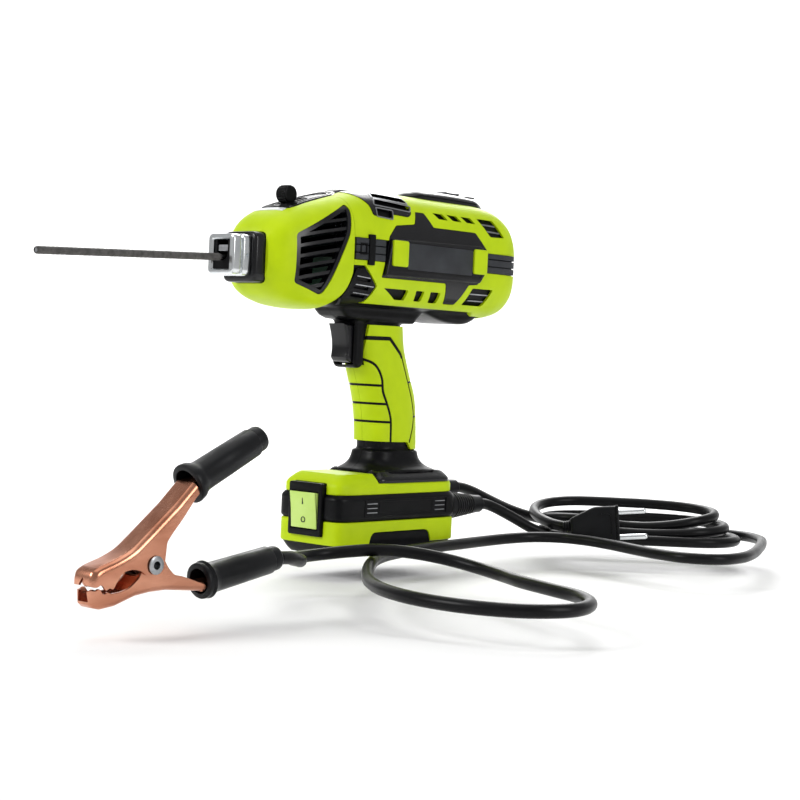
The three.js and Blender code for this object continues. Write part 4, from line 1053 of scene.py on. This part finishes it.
show(make_head(), "head_block", "head_chrome")
show(make_collar(), "nose_collar", "gloss_plastic")
show(make_jaws(), "jaw_block", "black_plastic")
shoe = block(-4.8, 4.8, -165.4, -138, 220.6, 225.2, 0.5)
show(shoe, "pressure_shoe", "steel", body="shoe")
core = turned([(1.3, -160), (1.6, -159.6), (1.6, 26)], count=32)
show(in_rod(core), "electrode_core", "steel")
flux = [(1.9, -160.4), (2.1, -160.4), (2.5, -159.6)]
flux += [(2.6 + 0.05 * math.sin(k * 1.7) + 0.03 * math.sin(k * 0.53), -158.6 + k) for k in range(0, 157)]
flux += [(2.5, -0.9), (2.3, -0.6), (1.9, -0.6)]
show(in_rod(turned(flux, count=40, closed=True)), "electrode_coating", "electrode_flux")


# ---------- release knob ----------
def make_release_slide():
    carriage = moved(block(-9, 9, -10, 10, -1.2, 1.2, 0.4), y=-102, z=252.6, turn=17)
    return join(carriage, block(-3, 3, -110, -104, 250, 259.3, 0.5))


TOOTH_REACH = 3.9


def make_knob():
    def teeth(t, level):
        if abs(level) >= TOOTH_REACH:
            return 0
        wave = math.cos(20 * t)
        return 0.36 * math.copysign(abs(wave) ** 0.6, wave)

    rim = [(4.6, -5), (6.0, -4.9), (6.3, -4.6), (6.4, -3.9), (6.42, -3.8)]
    rows = rim + [(r, -level) for r, level in reversed(rim)]
    return moved(turned(rows, "X", 240, teeth), x=2, y=-107, z=266.4)


show(make_release_slide(), "release_slide", "gloss_plastic", body="release")
show(make_knob(), "release_knob", "black_plastic", body="release", angle=50)


# ---------- grip ----------
GRIP_ROWS = smooth_rows(GRIP, 2)
GRIP_REGION = [
    (-25.6, 174.4), (60, 174.4), (60, 78.4), (25, 79), (20, 84.6), (-60, 85.6), (-60, 139.4), (-34, 139.4),
    (-28, 141.4), (-25.6, 146),
]
GRIP_LINES = [
    ([(-27, 164.4), (-5, 164.6), (8.5, 153.4), (11, 150)], 3.2),
    ([(-27, 149), (-17, 144), (-10.4, 134), (-8, 124), (-3.4, 114), (0.6, 103), (2, 84)], 2.0),
    ([(10, 153), (19.6, 130), (27.4, 107), (27, 98), (22.4, 84)], 1.7),
    ([(-50, 128.8), (-9, 128.2)], 1.9),
    ([(-50, 114.8), (-4, 114)], 1.9),
    ([(-50, 101), (0.6, 100)], 1.9),
    ([(19.6, 131), (50, 136)], 1.6),
    ([(27, 104), (50, 108)], 1.6),
]


def grip(inset):
    return along_z(GRIP, inset, GRIP_POWER)


def grip_field(p):
    middle, half_x, half_y = sections_at(GRIP_ROWS, p[:, 2])
    return np.abs(p[:, 0] / half_x) ** GRIP_POWER + np.abs((p[:, 1] - middle) / half_y) ** GRIP_POWER


def grip_lines(grow):
    bands = []
    for points, width in GRIP_LINES:
        line = catmull(points, 2) if len(points) > 4 else points
        bands.append(prism(strip(line, width + grow), -1, 60))
    return bands


def make_grip_skin():
    skin = common(cut(grip(0), grip(SKIN)), prism(GRIP_REGION, SPLIT, 60))
    return cut(skin, trigger_well(), *grip_lines(0))


def make_grip_inlay():
    inlay = common(cut(grip(0.3), grip(SKIN)), prism(offset(GRIP_REGION, 0.2), SPLIT, 60))
    return cut(common(inlay, join(*grip_lines(-0.3))), trigger_well())


pair(make_grip_skin(), "grip_skin", "lime_plastic", field=grip_field)
pair(make_grip_inlay(), "grip_inlay", "black_plastic", nodes=False, field=grip_field)


# ---------- trigger ----------
def make_trigger():
    ends = np.array([(-46, 174.4), (-43, 167), (-40, 158), (-42.4, 149)], float)
    curve = []
    for k in range(17):
        t = k / 16
        weights = ((1 - t) ** 3, 3 * t * (1 - t) ** 2, 3 * t * t * (1 - t), t ** 3)
        curve.append(tuple(sum(w * q for w, q in zip(weights, ends))))
    outline = [*curve, (-41, 146.6), (-37.5, 145.1), (-33, 144.2), (-26, 144.2), (-26, 174.4)]
    return prism(outline, -9, 9, edge=2, steps=6)


show(make_trigger(), "trigger", "gloss_plastic", body="trigger_body", angle=40)
show(block(-6, 6, -14, 4, 150, 166, 0.5), "trigger_switch", "grey_plastic")


# ---------- base ----------
BASE_X, BASE_Y = 34, 69


def base_form(levels):
    """The base's rounded box through levels of (z, how far inside the base's own outline)."""
    return along_z([(z, 0, BASE_X - inset, BASE_Y - inset) for z, inset in levels], 0, 9, 176, 1.2)


def make_base():
    bezel_seat = prism(rect(-17.3, 17.3, 13.7, 54.3, 2), -80, -59, "Y")
    cover_seat = block(-60, 60, -24.3, 63.3, 54, 80)
    holes = [prism(circle(6.8, x, z), 54, 84, "Y") for x, z in ((17, 33), (-15, 44))]
    notch = prism(fillet([(-38.4, 0), (-33, 17.6), (33, 17.6), (38.4, 0)], 5), 31, 39, "X")
    lower = base_form([(8, 0.9), (8.4, 0.3), (9.2, 0), (24.8, 0), (25.7, 0.6)])
    lower = cut(lower, base_form([(11, 4), (28, 4)]), mirrored(notch), notch, copy(bezel_seat))
    band = base_form([(26, 1.2), (27.4, 0), (28.4, -0.3), (42.2, -0.3), (43.4, 0.1), (45.7, 1.7)])
    band = cut(band, base_form([(24, 4.5), (48, 4.5)]), copy(bezel_seat), *(copy(h) for h in holes))
    upper = base_form([(46, 2.4), (46.8, 2), (52, 2), (53.6, 2.6), (59, 7.5), (61, 10.2)])
    upper = cut(upper, base_form([(44, 6), (55, 6)]), cover_seat, bezel_seat, *holes)
    return lower, band, upper


def make_base_foot():
    rows = [(0, 6, 7), (2, 4.4, 5), (7.7, 1.4, 1.4)]
    plate = along_z([(z, 0, BASE_X - a, BASE_Y - b) for z, a, b in rows], 0, 9, 176, 1.2)
    cheek = prism(fillet([(-37.2, 3), (-32.8, 17.2), (32.8, 17.2), (37.2, 3)], 4.6), 31.3, 33.6, edge=0.8)
    cheek = join(cheek, block(28, 33, -36, 36, 3, 7.7))
    return join(plate, mirrored(cheek), cheek)


def make_base_cover():
    cover = along_z([
        (54.3, 19.5, 32, 43.4), (56.4, 19.5, 32, 43.4), (57.2, 19.5, 31.6, 43.1), (61.4, 19.1, 27.2, 41.2),
        (62.6, 18.4, 26, 39.4), (63.4, 18, 24.8, 38)], 0, 9, 176, 0.8)
    seat = along_z([(61, 18, 29.4, 43), (63, 17.6, 28.9, 42), (65, 16.6, 25.9, 37)], 0, 3)
    return cut(cover, seat)


def make_rocker():
    shape = fillet([(-75.4, 47), (-73.4, 34), (-72.4, 19.4), (-68, 20.6), (-64.4, 33), (-68, 46.2)], 0.9)
    return prism(shape, -13.4, 13.4, edge=0.9)


base_lower, base_band, base_upper = make_base()
show(base_lower, "base_lower", "lime_plastic")
show(base_band, "base_band", "black_plastic")
show(base_upper, "base_upper", "lime_plastic")
show(make_base_foot(), "base_foot", "black_plastic")
show(make_base_cover(), "base_cover", "gloss_plastic")
bezel = prism(rect(-17, 17, 14, 54, 2), -72, -66.9, "Y", 0.7)
bezel = cut(bezel, prism(rect(-13.9, 13.9, 18.6, 47.4, 1), -74, -64, "Y"))
show(bezel, "rocker_bezel", "black_plastic")
show(make_rocker(), "rocker", "rocker_plastic", body="rocker_body")
marks = join(
    prism(rect(-0.35, 0.35, 37.6, 42.4), -74.7, -73.2, "Y"),
    cut(prism(circle(2.2, 0, 26, 32), -73.25, -72.2, "Y"), prism(circle(1.6, 0, 26, 32), -75, -72, "Y")))
piece(marks, "rocker_marks", "grey_plastic", body="rocker_body")
frame_lines = cut(block(34.1, 34.6, -42, 53, 29.4, 42.2), block(34, 35, -41.4, 52.4, 30, 41.6))
inner_lines = cut(block(34.1, 34.55, -26, 36, 30.6, 40.6), block(34, 35, -25.5, 35.5, 31.1, 40.1))
short_lines = [
    block(34.1, 34.65, a, b, z, z + 0.6)
    for a, b in ((-39.6, -28.4), (39, 50.4))
    for z in (32.2, 35.6, 39)
]
pair(join(inner_lines, frame_lines), "band_frame", "black_plastic", nodes=False)
pair(join(*short_lines), "band_lines", "steel", nodes=False)


# ---------- strain reliefs ----------
def make_gland(x, z, end, wide, narrow, ribs):
    rows = [(6.1, 63), (6.1, 69.7), (wide - 0.6, 69.7), (wide, 70.4), (wide, 74.4)]
    first, last = 75.0, end - 6
    for k in range(ribs):
        y = first + 1 + k * 3.2
        r = wide + (narrow - wide) * (y - first) / (last - first)
        rows += [(r, y), (r - 0.8, y + 0.5), (r - 0.8, y + 1.5), (r - 0.1, y + 2.0)]
    rows += [(narrow, last), (narrow - 0.2, end - 1), (narrow - 0.9, end), (4.5, end)]
    return moved(turned(rows, count=64), x=x, z=z)


show(make_gland(17, 33, 115, 11, 7.2, 8), "mains_gland", "grip_rubber")
show(make_gland(-15, 44, 122, 8.6, 6.6, 9), "earth_gland", "grip_rubber")


# ---------- plug ----------
def in_plug(made):
    moved(made, turn=-8, axis="X")
    moved(made, turn=-5, axis="Y")
    return moved(made, 93.2, 207.2, 19, 41, "Z")


def make_plug():
    near = [(0, -15.5), (-20, -15.5), (-36, -8.5), (-40, -6.6)]
    far = [(a, -b) for a, b in reversed(near)]
    body = prism(fillet(near + far, 2.4), -8, 8, "Y", 2.6, 6)
    rows = [(5.9, -38)]
    for k in range(4):
        wide, at = 6.1 - 0.3 * k, -38.8 - k * 2
        rows += [(wide, at), (wide - 0.8, at - 0.4), (wide - 0.8, at - 1.4)]
    entry = turned([*rows, (4.9, -46)], "X")
    face = prism(rect(-2.2, 0.4, -15.9, 15.9, 1), -8.4, 8.4, "Y", 0.8)
    scoop = prism(rect(-17, -6, -9, 9, 3), -9, -7.3, "Y")
    return cut(join(body, entry, face), scoop)


show(in_plug(make_plug()), "plug_body", "grip_rubber")
for name, z in (("lower", -10.5), ("upper", 10.5)):
    pin = turned([(2.3, 0.3), (2.3, 22), (2.1, 23), (1.5, 23.8), (0.6, 24)], "X", 32)
    show(in_plug(moved(pin, z=z)), f"plug_pin_{name}", "head_chrome")


# ---------- earth clamp ----------
CLAMP = (139, -346, 24.6)
ARM_BACK = [(15, 34.6), (1.5, 23.8), (-9.5, 15), (-17, 9.5), (-27, 5)]
UPPER_ARM = [
    (-45.2, -2), (-45.6, -10), (-42, -10.4), (-39, -8.6), (-35.6, -12.8), (-33, -11), (-30.4, -12.4),
    (-27.6, -7.4), (-23, -2.6), (-16.6, -1.6), (-11, -2.6), (-6, -5.6), (0, -5), (7, -3.4), (8, 6),
    (8.6, 13), (13, 18.4), (20, 26), (29.6, 38), (37, 45), (34, 52), (27.5, 46.2), *ARM_BACK, (-42, 0),
]
UPPER_BACK = [*ARM_BACK, (-40.6, 0.5), (-44.5, -2.2), (-45.6, -7)]
UPPER_HOLLOW = [
    (-41.4, -1.7), (-43.8, -4), (-43.8, -30), (40, -30), (60, 45), (40, 55.4), (28.6, 45), (16.1, 33.3),
    (2.6, 22.4), (-8.5, 13.6), (-16.2, 8), (-26.4, 3.4),
]
LOWER_ARM = [
    (-45, -12.2), (-45, -20.2), (-41.6, -22.6), (-36.4, -23.8), (-26, -22.6), (-11, -17.8), (0, -16.4),
    (12, -16), (46, -19), (56, -20), (56, -17.4), (45, -15.2), (23.7, -8.3), (17, -6.9), (12.4, -2.7),
    (9, 2.4), (5, 4.6), (0, 5.2), (-4.6, 3), (-7.6, -2), (-10, -7.2), (-16.6, -12.4), (-24, -14.4),
    (-30.4, -14.8), (-33, -13.4), (-35.6, -15.2), (-39, -11), (-42, -12.8),
]
LOWER_HOLLOW = [
    (-43.4, -5), (-43.4, -19.2), (-40.8, -21), (-36.2, -22.2), (-25.8, -21), (-11, -16.2), (0, -14.8),
    (12, -14.4), (46, -17.4), (70, -19.5), (70, 20), (-43.4, 20),
]
UPPER_GRIP = {"y": 31, "z": 45.4, "angle": 25.5, "length": 65, "r": 9.8, "flange": 12.8}
LOWER_GRIP = {"y": 43, "z": -13.4, "angle": 9.5, "length": 66, "r": 9.4, "flange": 11.2}


def at_grip(made, spec):
    return moved(made, y=spec["y"], z=spec["z"], turn=spec["angle"])


def make_arm(points, envelope, hollow, half, spec, tang, notch):
    arm = prism(fillet(points, 1.6, 3), -half, half, edge=0.25, steps=1)
    arm = common(arm, prism(envelope, -half, half, edge=4.2, steps=8))
    shell = prism(fillet(hollow, 2.4, 3), -half + 1.6, half - 1.6, edge=1.4)
    arm = cut(arm, shell, prism(circle(4.3), -40, 40), at_grip(block(-40, 40, -1, 90, -60, 60), spec), notch)
    half_tang, low, high = tang
    return join(arm, at_grip(block(-half_tang, half_tang, -3, 40, low, high, 0.8), spec))


def make_clamp_grip(spec, tang):
    length, r, flange = spec["length"], spec["r"], spec["flange"]
    rows = [
        (flange - 1.2, 0), (flange - 0.2, 0.5), (flange, 1.6), (flange - 0.3, 3), (r + 2.4, 5), (r + 1, 7.4),
        (r, 11), (r - 0.2, 30), (r - 0.6, length - 8.4), (r - 0.9, length - 7.9), (r - 1.5, length - 7.7),
        (r - 1.6, length - 2), (r - 2.2, length - 0.6), (r - 3, length)]
    well = turned([(flange - 3.2, -1), (flange - 3.8, 3), (r - 2, 9), (r - 2.6, 12)], count=72)
    half_tang, low, high = tang
    slot = block(-half_tang - FIT, half_tang + FIT, -4, 42, low - FIT, high + FIT)
    return at_grip(cut(turned(rows, count=72), well, slot), spec)


def spring():
    coil = []
    for k in range(6, 91):
        t = k / 96 * 8 * math.pi
        coil.append((-4.6 + 9.2 * k / 96, 6 * math.cos(t), 6 * math.sin(t)))
    points = [(-4.6, -20, 1), (-4.6, -2, -6.6), *coil, (4.6, 6.4, 9), (4.6, 10, 14.6)]
    wire = wire_along("wire", catmull(points, 1.0), 0.9, 3)
    mesh = bpy.data.meshes.new_from_object(wire.evaluated_get(bpy.context.evaluated_depsgraph_get()))
    bpy.data.objects.remove(wire)
    made = bpy.data.objects.new("spring", mesh)
    scene.collection.objects.link(made)
    return made


def show_on_clamp(made, node, slot, **how):
    show(moved(made, *CLAMP), node, slot, **how)


upper_back = catmull(UPPER_BACK, 3).tolist()
upper_envelope = [(80, 92), (34, 52.2), (27.5, 46.3), *upper_back, (-45.6, -40), (80, -40)]
lower_envelope = [
    (-45, 40), (-45, -14), (-44.4, -20.4), (-41.6, -22.8), (-36.4, -23.9), (-26, -22.7), (-11, -18),
    (0, -16.5), (12, -16), (46, -19), (80, -22), (80, 40)]
UPPER_TANG = (6.4, -4.4, 2.2)
LOWER_TANG = (5.6, -5.2, 0.6)
upper_notch = prism([(-4.4, -11.4), (4.4, -11.4), (0, -5)], -48, -42.4, "Y")
lower_notch = prism(fillet([(-4.6, -19), (4.6, -19), (3, -10), (-3, -10)], 0.8), -48, -42.4, "Y")
upper_arm = make_arm(UPPER_ARM, upper_envelope, UPPER_HOLLOW, 9.8, UPPER_GRIP, UPPER_TANG, upper_notch)
show_on_clamp(upper_arm, "clamp_upper_arm", "clamp_copper", body="clamp_upper")
lower_arm = make_arm(LOWER_ARM, lower_envelope, LOWER_HOLLOW, 7.6, LOWER_GRIP, LOWER_TANG, lower_notch)
show_on_clamp(lower_arm, "clamp_lower_arm", "clamp_copper")
upper_cover = make_clamp_grip(UPPER_GRIP, UPPER_TANG)
show_on_clamp(upper_cover, "clamp_grip_upper", "grip_rubber", body="clamp_upper")
show_on_clamp(make_clamp_grip(LOWER_GRIP, LOWER_TANG), "clamp_grip_lower", "grip_rubber")
lip = [(2.5, -11.3), (4.6, -11.4), (5.5, -10.9), (5.5, -10.3), (4, -10.1)]
eyelet = lip + [(r, -x) for r, x in reversed(lip)]
show_on_clamp(turned(eyelet, "X", closed=True), "clamp_pivot", "steel")
piece(moved(spring(), *CLAMP), "clamp_spring", "steel")
